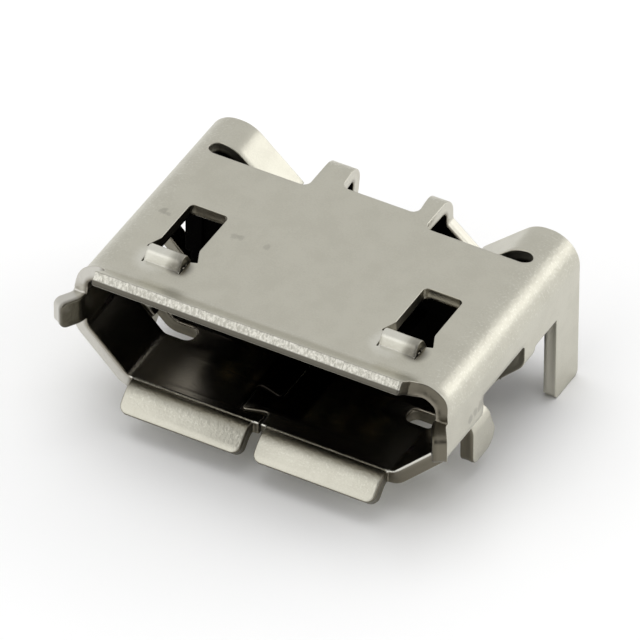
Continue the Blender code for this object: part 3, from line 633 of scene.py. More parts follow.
def oriented(points, material_inside):
    """The outline as an array that runs with the material on its left.

    Which way it runs is the sign of its area, the sum of the cross products of neighbouring points.
    """
    loop = np.array(points)
    following = np.roll(loop, -1, axis=0)
    area = np.sum(loop[:, 0] * following[:, 1] - following[:, 0] * loop[:, 1])
    return loop if (area > 0.0) == material_inside else loop[::-1]


def eased(loop, radius):
    """Each sharp corner is swapped for points of a small curve, no longer than a third of its edges.

    The curve leaves the arriving edge by the square of what is left of it and joins the leaving edge by
    the square of what is done. The corners of the seam's dovetail are rounder than the rest.
    """
    arriving, leaving = directions(loop)
    lengths = np.linalg.norm(np.roll(loop, -1, axis=0) - loop, axis=1)
    room = np.minimum(lengths, np.roll(lengths, 1)) / CORNER_PARTS
    in_seam = (np.abs(loop[:, 0]) > SEAM - DOVETAIL_REACH - SEAM_GAP) & (loop[:, 1] > 0.0)
    radius = np.where(in_seam, SEAM_CORNER, radius)
    turn = np.degrees(np.arccos(np.clip(np.sum(arriving * leaving, axis=1), -1.0, 1.0)))
    points = []
    for point, a, b, cut, degrees in zip(loop, arriving, leaving, np.minimum(room, radius), turn):
        if degrees < SHARP_TURN:
            points.append(point)
            continue
        for t in np.linspace(0.0, 1.0, CORNER_POINTS):
            points.append(point - a * cut * (1.0 - t) ** 2 + b * cut * t ** 2)
    return np.array(points)


def inset(loop, distance):
    """Each point moves so that both its edges shift by the distance.

    The move is the distance times the sum of the edges' normals over one plus their product.
    """
    arriving, leaving = directions(loop)
    first = np.stack([-arriving[:, 1], arriving[:, 0]], axis=1)
    second = np.stack([-leaving[:, 1], leaving[:, 0]], axis=1)
    share = np.maximum(1.0 + np.sum(first * second, axis=1, keepdims=True), NARROWEST_SHARE)
    return loop + distance * (first + second) / share


def punched_plate(outlines):
    """A flat plate whose cut edges have the profile of a punched edge.

    Every outline is inset and lifted by each pair of the profile, neighbouring rings are joined by
    quads, and the two faces are filled between their outermost rings.
    """
    bm = bmesh.new()
    rims = ([], [])
    for loop in outlines:
        rings = [
            [bm.verts.new((*point, lift)) for point in inset(loop, distance)]
            for distance, lift in EDGE_PROFILE
        ]
        for upper, lower in zip(rings, rings[1:]):
            for number in range(len(loop)):
                after = (number + 1) % len(loop)
                bm.faces.new((upper[number], lower[number], lower[after], upper[after]))
        for rim, ring in zip(rims, (rings[0], rings[-1])):
            rim += [bm.edges.get((ring[n], ring[(n + 1) % len(ring)])) for n in range(len(ring))]
    for rim in rims:
        bmesh.ops.triangle_fill(bm, edges=rim, use_beauty=True)
    bmesh.ops.dissolve_limit(bm, angle_limit=FLAT_FACE_ANGLE, verts=bm.verts, edges=bm.edges)
    return bm


def stations(start, length, turn):
    """Bend lines at even steps across a bend, each no wider than the bend step."""
    count = max(2, math.ceil(abs(turn) / BEND_STEP))
    return list(start + length * np.arange(count + 1) / count)


def bend_lines():
    """All bend lines of the right half: distances round the section, and depths."""
    across = stations(CORNER_START, *SECTION[1])
    across += stations(WALL_END, *SECTION[3])
    across += stations(CHAMFER_END, *SECTION[5])
    across += stations(CORNER_START - RIBBON_CREST, -RIBBON[1][0], RIBBON[1][1])
    across += stations(HOOK_ROOT, -HOOK[0][0], HOOK[0][1])
    depths = stations(LIP_START, -LIP[0][0], LIP[0][1])
    depths += stations(0.0, -EAR[0][0], EAR[0][1])
    depths += stations(0.0, -FLAP[0][0], FLAP[0][1])
    depths += list(RIDGE_WIDTH * RIDGE_CUTS)
    depths += stations(FINGER_ROOT, *FINGER[0]) + stations(FINGER_CREST, *FINGER[2])
    depths += stations(REAR_BEND_START, *REAR[0])
    return across, depths


def cut_plate(bm):
    """Cuts the plate along its bend lines, where it turns, and along a grid, to carry its attributes."""
    across, depths = bend_lines()
    across += list(np.arange(GRID_STEP / 2, LEG_END, GRID_STEP))
    depths += list(np.arange(LIP_END, REAR_BEND_START + TOP, GRID_STEP))
    cuts = [(0, value) for value in across] + [(0, -value) for value in across]
    cuts += [(1, value) for value in depths]
    for axis, value in cuts:
        point = [0.0, 0.0, 0.0]
        normal = [0.0, 0.0, 0.0]
        point[axis] = value
        normal[axis] = 1.0
        geometry = list(bm.verts) + list(bm.edges) + list(bm.faces)
        bmesh.ops.bisect_plane(bm, geom=geometry, dist=WELD, plane_co=point, plane_no=normal)


def finish_mesh(name, bm, sharp_angle, material):
    """Makes a piece with smooth faces, sharp where they meet at more than an angle."""
    mesh = bpy.data.meshes.new(name)
    bm.to_mesh(mesh)
    bm.free()
    mesh.shade_smooth()
    mesh.set_sharp_from_angle(angle=sharp_angle)
    mesh.materials.append(material)
    piece = bpy.data.objects.new(name, mesh)
    bpy.context.scene.collection.objects.link(piece)
    weighted = piece.modifiers.new("even_shading", "WEIGHTED_NORMAL")
    weighted.keep_sharp = True
    return piece


def keep_values(mesh, name, values):
    """Keeps one number for each point of a mesh as an attribute."""
    attribute = mesh.attributes.new(name, "FLOAT", "POINT")
    attribute.data.foreach_set("value", values.astype(np.float32))


def make_shell(material):
    """The folded shell: a punched plate cut along its bend lines, each point carried by the fold.

    Every point keeps its flat place, its stretch and how far it is enclosed as attributes.
    """
    window = window_outline()
    opening = opening_outline()
    holes = [window, [(-s, y) for s, y in window], opening, [(-s, y) for s, y in opening], arms_outline()]
    outlines = [eased(oriented(blank_outline(), True), PUNCHED_CORNER)]
    outlines += [eased(oriented(hole, False), PUNCHED_CORNER) for hole in holes]
    bm = punched_plate(outlines)
    cut_plate(bm)
    bmesh.ops.triangulate(bm, faces=bm.faces)
    bmesh.ops.recalc_face_normals(bm, faces=bm.faces)
    flat = np.array([vert.co[:] for vert in bm.verts])
    piece = finish_mesh("shell_sheet", bm, SHELL_SHARP_ANGLE, material)
    mesh = piece.data
    folded = fold(flat[:, 0], flat[:, 1], flat[:, 2])
    mesh.vertices.foreach_set("co", folded.astype(np.float32).ravel())
    place = mesh.attributes.new("flat", "FLOAT_VECTOR", "POINT")
    place.data.foreach_set("vector", flat.astype(np.float32).ravel())
    keep_values(mesh, "worked", worked(flat[:, 0], flat[:, 1]))
    keep_values(mesh, "enclosed", enclosed(flat[:, 0], flat[:, 1]))
    mesh.update()
    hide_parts("shell")
    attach(piece, "root")


def add_prism(bm, outline, front, back):
    """A closed bar: an outline of widths and heights, carried from one depth to another."""
    rings = []
    for depth in (front, back):
        places = [(x, depth - ORIGIN_DEPTH, z) for x, z in outline]
        rings.append([bm.verts.new([value * MM for value in place]) for place in places])
    near, far = rings
    bm.faces.new(near)
    bm.faces.new(far[::-1])
    for number in range(len(outline)):
        after = (number + 1) % len(outline)
        bm.faces.new((near[number], far[number], far[after], near[after]))


def box_outline(inner, outer, bottom, top):
    """The four corners of a bar: widths and heights."""
    return [(inner, bottom), (outer, bottom), (outer, top), (inner, top)]


def add_ledges(bm):
    """The moulding's ledges along the side walls, under the slots and ribbons, and its cheeks and feet.

    Each is a bar whose outline is a box; the ledge under the slots loses its upper outer corner.
    """
    outer = MOUTH_WIDTH / 2 - LEDGE_CLEARANCE
    inner = outer - LEDGE_WIDTH
    under_top = TOP - SHEET - LEDGE_CLEARANCE
    bevel = CORNER_INSIDE_RADIUS * LEDGE_BEVEL_SHARE
    step = BAND_FRONT - LEDGE_CLEARANCE
    high = [(inner, LEDGE_BOTTOM), (outer, LEDGE_BOTTOM), (outer, under_top - bevel)]
    high += [(outer - bevel, under_top), (inner, under_top)]
    low = box_outline(inner, outer, LEDGE_BOTTOM, LEDGE_TOP)
    foot = box_outline(inner, FOOT_HALF_WIDTH, LEDGE_CLEARANCE, LEDGE_BOTTOM + LEDGE_CLEARANCE)
    cheek = box_outline(inner, FOOT_HALF_WIDTH, CHEEK_BOTTOM, CHEEK_TOP)
    bars = [(high, LEDGE_FRONT, step), (low, step, LEDGE_BACK), (foot, FOOT_FRONT, FOOT_BACK)]
    bars += [(cheek, CHEEK_FRONT, FOOT_FRONT + LEDGE_CLEARANCE)]
    for side in (1.0, -1.0):
        for outline, front, back in bars:
            add_prism(bm, [(side * x, z) for x, z in outline], front, back)


def make_softened(node, width, material, extra=None):
    """A node's own shape, with any extra bars, and its edges rounded over by a small width."""
    bm = bmesh.new()
    bm.from_mesh(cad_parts[node].data)
    bmesh.ops.remove_doubles(bm, verts=bm.verts, dist=WELD * MM)
    bmesh.ops.dissolve_limit(bm, angle_limit=FLAT_NODE_ANGLE, verts=bm.verts, edges=bm.edges)
    if extra:
        extra(bm)
    bmesh.ops.recalc_face_normals(bm, faces=bm.faces)
    piece = finish_mesh(node + "_softened", bm, SOFTENED_SHARP_ANGLE, material)
    rounding = piece.modifiers.new("rounded_edges", "BEVEL")
    rounding.width = width * MM
    rounding.segments = ROUNDED_SEGMENTS
    rounding.limit_method = "ANGLE"
    rounding.angle_limit = ROUNDED_ANGLE
    piece.modifiers.move(1, 0)
    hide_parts(node)
    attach(piece, "root")


# Finishes

PLATING = (0.583, 0.566, 0.484, 1.0)
PLATING_CLOUDED = (0.548, 0.531, 0.452, 1.0)
# Painted shade of the inner face, and darker painted shade on the ears' inner faces
INSIDE_SHADE = (0.25, 0.228, 0.185, 1.0)
EAR_INSIDE_SHADE = (0.11, 0.10, 0.075, 1.0)
# Bare cut edges: painted shade on those in front
FRONT_CUT_SHADE = (0.160, 0.146, 0.112, 1.0)
# Painted shade on the smooth lower band of the lip's cut face
LIP_CUT_SHADE = (0.120, 0.112, 0.092, 1.0)
# Painted light on the bare cut edges behind
REAR_CUT_LIT = (0.62, 0.60, 0.52, 1.0)
# Painted shade on the right window's cut edges, and painted light on those of the fingers and the mouth's
# left end
RIGHT_WINDOW_CUT_SHADE = (0.27, 0.25, 0.19, 1.0)
FINGER_CUT_LIT = (0.50, 0.48, 0.42, 1.0)
LEFT_CUT_LIT = (0.60, 0.585, 0.535, 1.0)
SEAM_SHADE = (0.025, 0.022, 0.018, 1.0)
# Painted shade at the fingers' right ends, and the colour of the scuffs
SHADE_AND_SCUFF = (0.16, 0.15, 0.13, 1.0)
# Painted highlight: the fingers' bright fronts, the glints on stretched sheet and the mouth's inner rim
GLINT = (0.80, 0.79, 0.72, 1.0)
# The lip's torn part: a dull tone with painted sparkle highlights in its streaks
TORN_DULL = (0.50, 0.485, 0.42, 1.0)
TORN_SPARKLE = (0.80, 0.78, 0.70, 1.0)
MOULDING_TONES = ((0.0015, 0.0014, 0.0012, 1.0), (0.0035, 0.0032, 0.0028, 1.0))
GILDING_TONES = ((0.84, 0.63, 0.29, 1.0), (0.72, 0.55, 0.29, 1.0))
CARD_TONES = ((0.93, 0.93, 0.93, 1.0), (0.91, 0.91, 0.91, 1.0))

# Painted highlights on the fingers' fronts, painted shade at their right ends, and scuffs on the top and
# the right wall: place on the blank, radius, strength, raggedness and colour
LIGHT_SHADE_AND_SCUFFS = [
    # Painted highlights on the fingers' fronts
    (-2.52, 0.83, 0.48, 0.60, 0.2, GLINT),
    (2.14, 0.83, 0.48, 0.60, 0.2, GLINT),
    # Painted shade at the fingers' right ends
    (-2.02, 0.82, 0.29, 0.75, 0.0, SHADE_AND_SCUFF),
    (2.64, 0.82, 0.29, 0.75, 0.0, SHADE_AND_SCUFF),
    # Scuffs on the top and the right wall
    (-3.04, 2.02, 0.11, 0.30, 1.0, SHADE_AND_SCUFF),
    (-2.93, 1.98, 0.07, 0.25, 1.0, SHADE_AND_SCUFF),
    (-1.62, 2.00, 0.09, 0.22, 1.0, SHADE_AND_SCUFF),
    (-1.50, 2.02, 0.08, 0.22, 1.0, SHADE_AND_SCUFF),
    (-0.98, 2.03, 0.10, 0.22, 1.0, SHADE_AND_SCUFF),
    (4.33, 0.84, 0.12, 0.35, 1.0, SHADE_AND_SCUFF),
    (4.30, 1.02, 0.11, 0.35, 1.0, SHADE_AND_SCUFF),
    (4.28, 1.20, 0.12, 0.35, 1.0, SHADE_AND_SCUFF),
]

# Soft steps over the plating: each from the value where it is 0 to the value where it is 1
CUT_HEIGHT = (HALF_SHEET - 0.002, HALF_SHEET - 0.012)
TORN_LIFT = (-0.045, -0.015)
INSIDE_LIFT = (-0.02, -HALF_SHEET)
MOTTLE = (0.42, 0.60)
SPECKS = (0.56, 0.68)
REAR_CUT_DEPTH = (2.7, 3.1)
WINDOW_LEFT = (1.5, 1.7)
WINDOW_RIGHT = (3.0, 2.85)
WINDOW_CUT_FRONT = (0.9, 1.1)
WINDOW_CUT_BACK = (2.7, 2.6)
FINGER_CUT_FRONT = (0.42, 0.47)
FINGER_CUT_BACK = (0.90, 0.86)
FINGER_CUT_OUTER = (3.0, 2.9)
LEFT_CUT_START = (-LIP_HALF_WIDTH - 0.05, -LIP_HALF_WIDTH - 0.2)
LEFT_CUT_END = (-FLOOR_START, 0.1 - FLOOR_START)
LEFT_CUT_DEPTH = (0.4, 0.3)
EAR_DEPTH = (-0.02, -0.16)
EAR_INNER = (CHAMFER_START + 0.1, CHAMFER_START)
SHADE_ACROSS = (SEAM - 0.64, SEAM - 0.54)
SHADE_DEPTH = (0.25, 0.45)
SHADE_LIFT = (0.06, 0.0)
# Where the mouth's inner rim gets its painted highlight
BRINK_DEPTH = (0.034, 0.016)
BRINK_ACROSS = (WALL_END - 0.4, WALL_END)
BRINK_LIFT = (-0.075, -0.105)
BRINK_RIGHT = (0.0, 0.1)
BRINK_FLOOR = (0.1 - FLOOR_START, -FLOOR_START)
LIP_DEPTH = (LIP_END + 0.08, LIP_END + 0.04)
LIP_ACROSS = (LIP_HALF_WIDTH + 0.3, LIP_HALF_WIDTH + 0.1)
SPARKLE = (0.38, 0.64)
SPOT_EDGE = (1.0, 0.4)

# Shares of the plating's effects, and the depths of its bumps in millimetres
CLOUD_SHARE = 0.5
GRAIN_SHARE = 0.5
SPECK_SHARE = 0.38
BRINK_SHARE = 0.85
STREAK_DRAW = (1.0, 1.0, 0.6)
PLAIN_ROUGHNESS = 0.31
CLOUD_ROUGHNESS = 0.06
STRETCH_ROUGHNESS = 0.04
INSIDE_ROUGHNESS = -0.10
FINE_DEPTH = 0.004
FINE_STRENGTH = 0.6
PEBBLE_DEPTH = 0.012
PEBBLE_STRENGTH = 0.9
STRETCHED_PEBBLES = 0.7
PLAIN_PEBBLES = 0.06
STREAK_RELIEF = 1.6

# The other finishes: scales of clouds and grain, roughness from the clouds, depth of the bump
CLOUD_RANGE = (0.2, 0.8)
MOULDING_SCALES = (0.8, 22.0)
MOULDING_ROUGHNESS = (0.60, 0.75)
MOULDING_BUMP = 0.006
MOULDING_IOR = 1.06
GILDING_SCALES = (1.5, 30.0)
GILDING_ROUGHNESS = (0.2, 0.34)
GILDING_BUMP = 0.002
CARD_ROUGHNESS = 0.8
CARD_SHINE = 0.1


def feed(tree, socket, value):
    """Links another node's output to a socket, or gives the socket a value."""
    if isinstance(value, bpy.types.NodeSocket):
        tree.links.new(value, socket)
    else:
        socket.default_value = value


def put(tree, kind, inputs=None, **settings):
    """Adds a node; its inputs are numbers, colours or other nodes' outputs."""
    node = tree.nodes.new("ShaderNode" + kind)
    for key, value in settings.items():
        setattr(node, key, value)
    for key, value in (inputs or {}).items():
        feed(tree, node.inputs[key], value)
    return node


def calc(tree, operation, *values):
    """One step of arithmetic on numbers or outputs."""
    return put(tree, "Math", dict(enumerate(values)), operation=operation).outputs[0]


def both(tree, *masks):
    """Where all the masks hold: their product."""
    product = masks[0]
    for mask in masks[1:]:
        product = calc(tree, "MULTIPLY", product, mask)
    return product


def blend(tree, share, first, second):
    """A colour between two others: the first less the share, plus the share of the second."""
    node = put(tree, "Mix", data_type="RGBA")
    for number, value in ((0, share), (6, first), (7, second)):
        feed(tree, node.inputs[number], value)
    return node.outputs[2]


def ramp(tree, value, low, high, to_low=0.0, to_high=1.0):
    """A soft step of one value between two limits, with the ends of smooth."""
    inputs = {"Value": value, "From Min": low, "From Max": high, "To Min": to_low, "To Max": to_high}
    return put(tree, "MapRange", inputs, interpolation_type="SMOOTHSTEP").outputs[0]


def noise(tree, place, scale, detail=2.0, roughness=0.5, distortion=0.0):
    """Soft random values from 0 to 1 over a place."""
    inputs = {"Vector": place, "Scale": scale, "Detail": detail, "Roughness": roughness}
    inputs["Distortion"] = distortion
    return put(tree, "TexNoise", inputs).outputs[0]


def new_group(name, inputs, outputs):
    """An empty node group with its named sockets, and its two end nodes."""
    group = bpy.data.node_groups.new(name, "ShaderNodeTree")
    for label, kind, value in inputs:
        socket = group.interface.new_socket(label, in_out="INPUT", socket_type="NodeSocket" + kind)
        if value is not None:
            socket.default_value = value
    for label, kind in outputs:
        group.interface.new_socket(label, in_out="OUTPUT", socket_type="NodeSocket" + kind)
    return group, group.nodes.new("NodeGroupInput"), group.nodes.new("NodeGroupOutput")


def grain_group():
    """Clouding and fine grain of a surface: two noises over a place in millimetres."""
    group, given, result = new_group(
        "surface_grain",
        [("Place", "Vector", None), ("Clouds", "Float", 1.2), ("Grain", "Float", 20.0)],
        [("Cloud", "Float"), ("Height", "Float")],
    )
    place = given.outputs["Place"]
    cloud = noise(group, place, given.outputs["Clouds"], detail=3.0, roughness=0.6)
    fine = noise(group, place, given.outputs["Grain"], detail=3.0, roughness=0.65)
    group.links.new(cloud, result.inputs["Cloud"])
    group.links.new(fine, result.inputs["Height"])
    return group


def spot_group():
    """A soft mark at one place of a surface: a step on the distance from it, which a noise makes ragged."""
    group, given, result = new_group(
        "spot",
        [("Place", "Vector", None), ("Centre", "Vector", None), ("Radius", "Float", 0.1),
         ("Ragged", "Float", 1.0)],
        [("Mask", "Float")],
    )
    inputs = {0: given.outputs["Place"], 1: given.outputs["Centre"]}
    away = put(group, "VectorMath", inputs, operation="DISTANCE").outputs["Value"]
    ragged = noise(group, given.outputs["Place"], scale=9.0, detail=3.0, roughness=0.7)
    ragged = both(group, calc(group, "MULTIPLY_ADD", ragged, 2.0, -1.0), given.outputs["Ragged"])
    away = both(group, away, calc(group, "ADD", ragged, 1.0))
    share = calc(group, "DIVIDE", away, given.outputs["Radius"])
    group.links.new(ramp(group, share, *SPOT_EDGE), result.inputs["Mask"])
    return group


def use(tree, group, inputs):
    """Places a node group with its own values."""
    node = tree.nodes.new("ShaderNodeGroup")
    node.node_tree = group
    for key, value in inputs.items():
        feed(tree, node.inputs[key], value)
    return node


def new_material(name, metallic):
    """An empty finish: its material, node tree and shader."""
    material = bpy.data.materials.new(name)
    material.use_nodes = True
    tree = material.node_tree
    shader = tree.nodes["Principled BSDF"]
    shader.inputs["Metallic"].default_value = metallic
    return material, tree, shader


def place_in_mm(tree):
    """Object coordinates in millimetres."""
    coordinates = put(tree, "TexCoord").outputs["Object"]
    return put(tree, "VectorMath", {0: coordinates, "Scale": 1.0 / MM}, operation="SCALE").outputs[0]


def plated_colour(tree, flat, surface, stretched, spot):
    """The plated faces: two tones, then painted highlights, painted shade and scuffs, then painted glints
    in specks where the sheet is stretched.
    """
    mottled = both(tree, surface.outputs["Height"], GRAIN_SHARE)
    mottled = calc(tree, "MULTIPLY_ADD", surface.outputs["Cloud"], CLOUD_SHARE, mottled)
    colour = blend(tree, ramp(tree, mottled, *MOTTLE), PLATING, PLATING_CLOUDED)
    for s, y, radius, strength, ragged, shade in LIGHT_SHADE_AND_SCUFFS:
        inputs = {"Place": flat, "Centre": (s, y, HALF_SHEET), "Radius": radius, "Ragged": ragged}
        mark = use(tree, spot, inputs).outputs["Mask"]
        colour = blend(tree, both(tree, mark, strength), colour, shade)
    # Painted glints: bright specks where the sheet is stretched
    specks = ramp(tree, noise(tree, flat, scale=24.0, detail=1.0), *SPECKS)
    return blend(tree, both(tree, specks, stretched, SPECK_SHARE), colour, GLINT)


def cut_colour(tree, along, depth, across):
    """The bare cut edges, with painted shade in front and painted light behind.

    The right window's cut edges get painted shade, and those of the fingers and the mouth's left end
    painted light.
    """
    bare = blend(tree, ramp(tree, depth, *REAR_CUT_DEPTH), FRONT_CUT_SHADE, REAR_CUT_LIT)
    in_window = both(tree, ramp(tree, along, *WINDOW_LEFT), ramp(tree, along, *WINDOW_RIGHT),
                     ramp(tree, depth, *WINDOW_CUT_FRONT), ramp(tree, depth, *WINDOW_CUT_BACK))
    bare = blend(tree, in_window, bare, RIGHT_WINDOW_CUT_SHADE)
    finger = both(tree, ramp(tree, depth, *FINGER_CUT_FRONT), ramp(tree, depth, *FINGER_CUT_BACK),
                  ramp(tree, across, *FINGER_CUT_OUTER))
    bare = blend(tree, finger, bare, FINGER_CUT_LIT)
    left_end = both(tree, ramp(tree, along, *LEFT_CUT_START), ramp(tree, along, *LEFT_CUT_END),
                    ramp(tree, depth, *LEFT_CUT_DEPTH))
    return blend(tree, left_end, bare, LEFT_CUT_LIT)


def inner_shade_colour(tree, depth, across):
    """The inner face's painted shade, darker on the ears."""
    on_ear = both(tree, ramp(tree, depth, *EAR_DEPTH), ramp(tree, across, *EAR_INNER))
    return blend(tree, on_ear, INSIDE_SHADE, EAR_INSIDE_SHADE)


def rim_highlight_mask(tree, along, depth, lift, across):
    """A painted highlight along the inner edge of the mouth, on its right side and along the floor."""
    brink = both(tree, ramp(tree, calc(tree, "ABSOLUTE", depth), *BRINK_DEPTH),
                 ramp(tree, across, *BRINK_ACROSS), ramp(tree, lift, *BRINK_LIFT))
    highlighted = calc(tree, "MAXIMUM", ramp(tree, along, *BRINK_RIGHT), ramp(tree, along, *BRINK_FLOOR))
    return both(tree, brink, highlighted, BRINK_SHARE)


def plating_material(grain, spot):
    """Dull tin plating: clouded and grainy, pebbled where the sheet is stretched, bare on cut edges.

    Over the plated colour come in turn the cut edges with their painted shade and light, the painted shade
    of the inner face, the shade on the floor round the seam, the painted highlight on the mouth's inner
    rim, the painted shade of the lip's cut and the painted sparkle over its torn part.
    """
    material, tree, shader = new_material("dull_tin_plating", 1.0)
    flat = put(tree, "Attribute", attribute_name="flat").outputs["Vector"]
    stretched = put(tree, "Attribute", attribute_name="worked").outputs["Fac"]
    within = put(tree, "Attribute", attribute_name="enclosed").outputs["Fac"]
    parts = put(tree, "SeparateXYZ", {0: flat})
    along, depth, lift = (parts.outputs[axis] for axis in "XYZ")
    across = calc(tree, "ABSOLUTE", along)
    surface = use(tree, grain, {"Place": flat, "Clouds": 2.2, "Grain": 30.0})
    cut = ramp(tree, calc(tree, "ABSOLUTE", lift), *CUT_HEIGHT)
    # Where the inner face gets its painted shade; the same mask lowers its roughness
    inside = both(tree, ramp(tree, lift, *INSIDE_LIFT), within)
    on_lip = both(tree, ramp(tree, depth, *LIP_DEPTH), ramp(tree, across, *LIP_ACROSS), cut)
    torn = both(tree, ramp(tree, lift, *TORN_LIFT), on_lip)
    shaded = both(tree, ramp(tree, across, *SHADE_ACROSS), ramp(tree, depth, *SHADE_DEPTH),
                  ramp(tree, lift, *SHADE_LIFT))

    colour = plated_colour(tree, flat, surface, stretched, spot)
    # The bare cut edges, with their painted shade in front and painted light behind
    colour = blend(tree, cut, colour, cut_colour(tree, along, depth, across))
    # Painted shade over the inner face, darker on the ears
    colour = blend(tree, inside, colour, inner_shade_colour(tree, depth, across))
    colour = blend(tree, shaded, colour, SEAM_SHADE)
    # Painted highlight on the mouth's inner rim
    colour = blend(tree, rim_highlight_mask(tree, along, depth, lift, across), colour, GLINT)
    # Painted shade over the lip's cut face
    colour = blend(tree, on_lip, colour, LIP_CUT_SHADE)
    # Streaky torn texture on the lip's cut, with painted sparkle highlights in its bright streaks
    drawn = put(tree, "VectorMath", {0: flat, 1: STREAK_DRAW}, operation="MULTIPLY").outputs[0]
    streaks = noise(tree, drawn, scale=21.0, detail=3.0, roughness=0.65, distortion=0.4)
    sparkle = blend(tree, ramp(tree, streaks, *SPARKLE), TORN_DULL, TORN_SPARKLE)
    tree.links.new(blend(tree, torn, colour, sparkle), shader.inputs["Base Color"])

    rough = calc(tree, "MULTIPLY_ADD", surface.outputs["Cloud"], CLOUD_ROUGHNESS, PLAIN_ROUGHNESS)
    rough = calc(tree, "MULTIPLY_ADD", stretched, STRETCH_ROUGHNESS, rough)
    rough = calc(tree, "MULTIPLY_ADD", inside, INSIDE_ROUGHNESS, rough)
    tree.links.new(rough, shader.inputs["Roughness"])

    fine = put(tree, "Bump", {"Height": surface.outputs["Height"], "Distance": FINE_DEPTH * MM,
                              "Strength": FINE_STRENGTH})
    weight = calc(tree, "MULTIPLY_ADD", stretched, STRETCHED_PEBBLES, PLAIN_PEBBLES)
    pebbles = both(tree, noise(tree, flat, scale=18.0, roughness=0.6), weight)
    pebbles = calc(tree, "MULTIPLY_ADD", both(tree, torn, streaks), STREAK_RELIEF, pebbles)
    coarse = put(tree, "Bump", {"Height": pebbles, "Distance": PEBBLE_DEPTH * MM,
                                "Strength": PEBBLE_STRENGTH, "Normal": fine.outputs[0]})
    tree.links.new(coarse.outputs[0], shader.inputs["Normal"])
    return material


def clouded_finish(grain, name, metallic, scales, tones, roughness, bump_depth):
    """A finish whose two tones and roughness the clouds mix, with a fine bump from the grain."""
    material, tree, shader = new_material(name, metallic)
    surface = use(tree, grain, {"Place": place_in_mm(tree), "Clouds": scales[0], "Grain": scales[1]})
    cloud = surface.outputs["Cloud"]
    tree.links.new(blend(tree, cloud, *tones), shader.inputs["Base Color"])
    tree.links.new(ramp(tree, cloud, *CLOUD_RANGE, *roughness), shader.inputs["Roughness"])
    bump = put(tree, "Bump", {"Height": surface.outputs["Height"], "Distance": bump_depth * MM})
    tree.links.new(bump.outputs[0], shader.inputs["Normal"])
    return material, shader


def moulding_material(grain):
    """Matt black glass-filled moulding, which mirrors next to nothing."""
    material, shader = clouded_finish(grain, "matt_black_moulding", 0.0, MOULDING_SCALES, MOULDING_TONES,
                                      MOULDING_ROUGHNESS, MOULDING_BUMP)
    shader.inputs["IOR"].default_value = MOULDING_IOR
    return material


def gilding_material(grain):
    """Thin smooth gilding over bronze, a little dulled in clouds."""
    return clouded_finish(grain, "thin_gilding", 1.0, GILDING_SCALES, GILDING_TONES, GILDING_ROUGHNESS,
                          GILDING_BUMP)[0]


def floor_material(grain):
    """Plain pale card in two tones."""
    material, tree, shader = new_material("pale_card", 0.0)
    surface = use(tree, grain, {"Place": place_in_mm(tree), "Clouds": 0.02, "Grain": 1.0})
    tree.links.new(blend(tree, surface.outputs["Cloud"], *CARD_TONES), shader.inputs["Base Color"])
    shader.inputs["Roughness"].default_value = CARD_ROUGHNESS
    shader.inputs["Specular IOR Level"].default_value = CARD_SHINE
    return material


# Camera, floor and light

CAMERA_TURN = math.radians(29.0192)
CAMERA_HEIGHT = math.radians(40.54)
CAMERA_AIM = (0.0, 1.87, 2.37)
CAMERA_SHIFT = (-0.1207, -1.1835)
CAMERA_AWAY = 178.6
CAMERA_NEAREST = 0.0001
CAMERA_FURTHEST = 10.0
FRAME_WIDTH = 11.123
SENSOR = 36.0
FLOOR_GAP = 0.002
FLOOR_REACH = 1.5
SURROUND_STRENGTH = 0.80
SURROUND_TONES = ((1.0, 1.0, 1.0, 1.0), (0.08, 0.08, 0.08, 1.0))
SHADE_OUTER_ANGLE = math.radians(34.0)
SHADE_INNER_ANGLE = math.radians(14.0)

# Name, place and size in millimetres, power, and whether the plating mirrors it
LIGHTS = [
    ("front_light", (-125.0, -235.0, 165.0), 260.0, 0.12, True),
    ("overhead_light", (-20.0, 20.0, 350.0), 280.0, 0.50, False),
    ("side_light", (130.0, 132.0, 76.0), 110.0, 0.05, True),
]


def camera_direction():
    """Unit direction from the socket to the camera: the sines and cosines of its turn and height."""
    level = math.cos(CAMERA_HEIGHT)
    return Vector((math.sin(CAMERA_TURN) * level, -math.cos(CAMERA_TURN) * level, math.sin(CAMERA_HEIGHT)))


def make_camera():
    """The photograph's view: a long lens, turned to the right of the mouth and high."""
    right = Vector((math.cos(CAMERA_TURN), math.sin(CAMERA_TURN), 0.0))
    back = camera_direction()
    above = back.cross(right)
    target = Vector(CAMERA_AIM) + right * CAMERA_SHIFT[0] + above * CAMERA_SHIFT[1]
    data = bpy.data.cameras.new("camera")
    data.sensor_width = SENSOR
    data.lens = SENSOR * CAMERA_AWAY / FRAME_WIDTH
    data.clip_start = CAMERA_NEAREST
    data.clip_end = CAMERA_FURTHEST
    camera = bpy.data.objects.new("camera", data)
    bpy.context.scene.collection.objects.link(camera)
    turn = Matrix((right, above, back)).transposed().to_4x4()
    turn.translation = (target + back * CAMERA_AWAY) * MM
    camera.matrix_world = turn
    bpy.context.scene.camera = camera


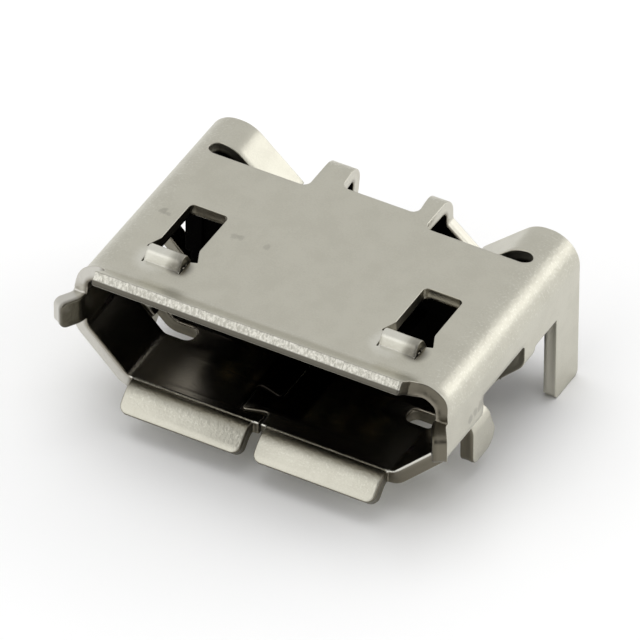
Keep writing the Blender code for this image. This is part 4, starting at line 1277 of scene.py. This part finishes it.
def make_floor(material):
    """A wide flat floor under the tips of the legs."""
    low = CAD_BOX[0].z - FLOOR_GAP * MM
    reach = FLOOR_REACH
    mesh = bpy.data.meshes.new("floor")
    corners = [(-reach, -reach, low), (reach, -reach, low), (reach, reach, low), (-reach, reach, low)]
    mesh.from_pydata(corners, [], [(0, 1, 2, 3)])
    mesh.materials.append(material)
    floor = bpy.data.objects.new("floor", mesh)
    bpy.context.scene.collection.objects.link(floor)


def make_light(name, place, size, power, mirrored):
    """A square soft light that faces the socket."""
    data = bpy.data.lights.new(name, "AREA")
    data.size = size * MM
    data.energy = power
    light = bpy.data.objects.new(name, data)
    bpy.context.scene.collection.objects.link(light)
    light.location = Vector(place) * MM
    light.rotation_mode = "QUATERNION"
    light.rotation_quaternion = (-Vector(place)).to_track_quat("-Z", "Y")
    light.visible_glossy = mirrored


def make_studio():
    """A pale surround, darker round the camera, with broad lights in front, overhead and behind.

    The overhead light brightens the floor and leaves no glint on the plating.
    """
    world = bpy.data.worlds.new("studio")
    bpy.context.scene.world = world
    world.use_nodes = True
    tree = world.node_tree
    outwards = put(tree, "TexCoord").outputs["Generated"]
    aim = {0: outwards, 1: camera_direction()}
    nearness = put(tree, "VectorMath", aim, operation="DOT_PRODUCT").outputs["Value"]
    shade = ramp(tree, nearness, math.cos(SHADE_OUTER_ANGLE), math.cos(SHADE_INNER_ANGLE))
    background = tree.nodes["Background"]
    tree.links.new(blend(tree, shade, *SURROUND_TONES), background.inputs["Color"])
    background.inputs["Strength"].default_value = SURROUND_STRENGTH
    for light in LIGHTS:
        make_light(*light)
    bpy.context.scene.view_settings.view_transform = "Standard"


GRAIN = grain_group()
SPOT = spot_group()

make_camera()
make_studio()
make_floor(floor_material(GRAIN))
make_shell(plating_material(GRAIN, SPOT))
make_softened("insulator", MOULDING_ROUNDING, moulding_material(GRAIN), add_ledges)
GILDING = gilding_material(GRAIN)
for number in range(1, CONTACT_COUNT + 1):
    make_softened("contact_" + str(number), CONTACT_ROUNDING, GILDING)
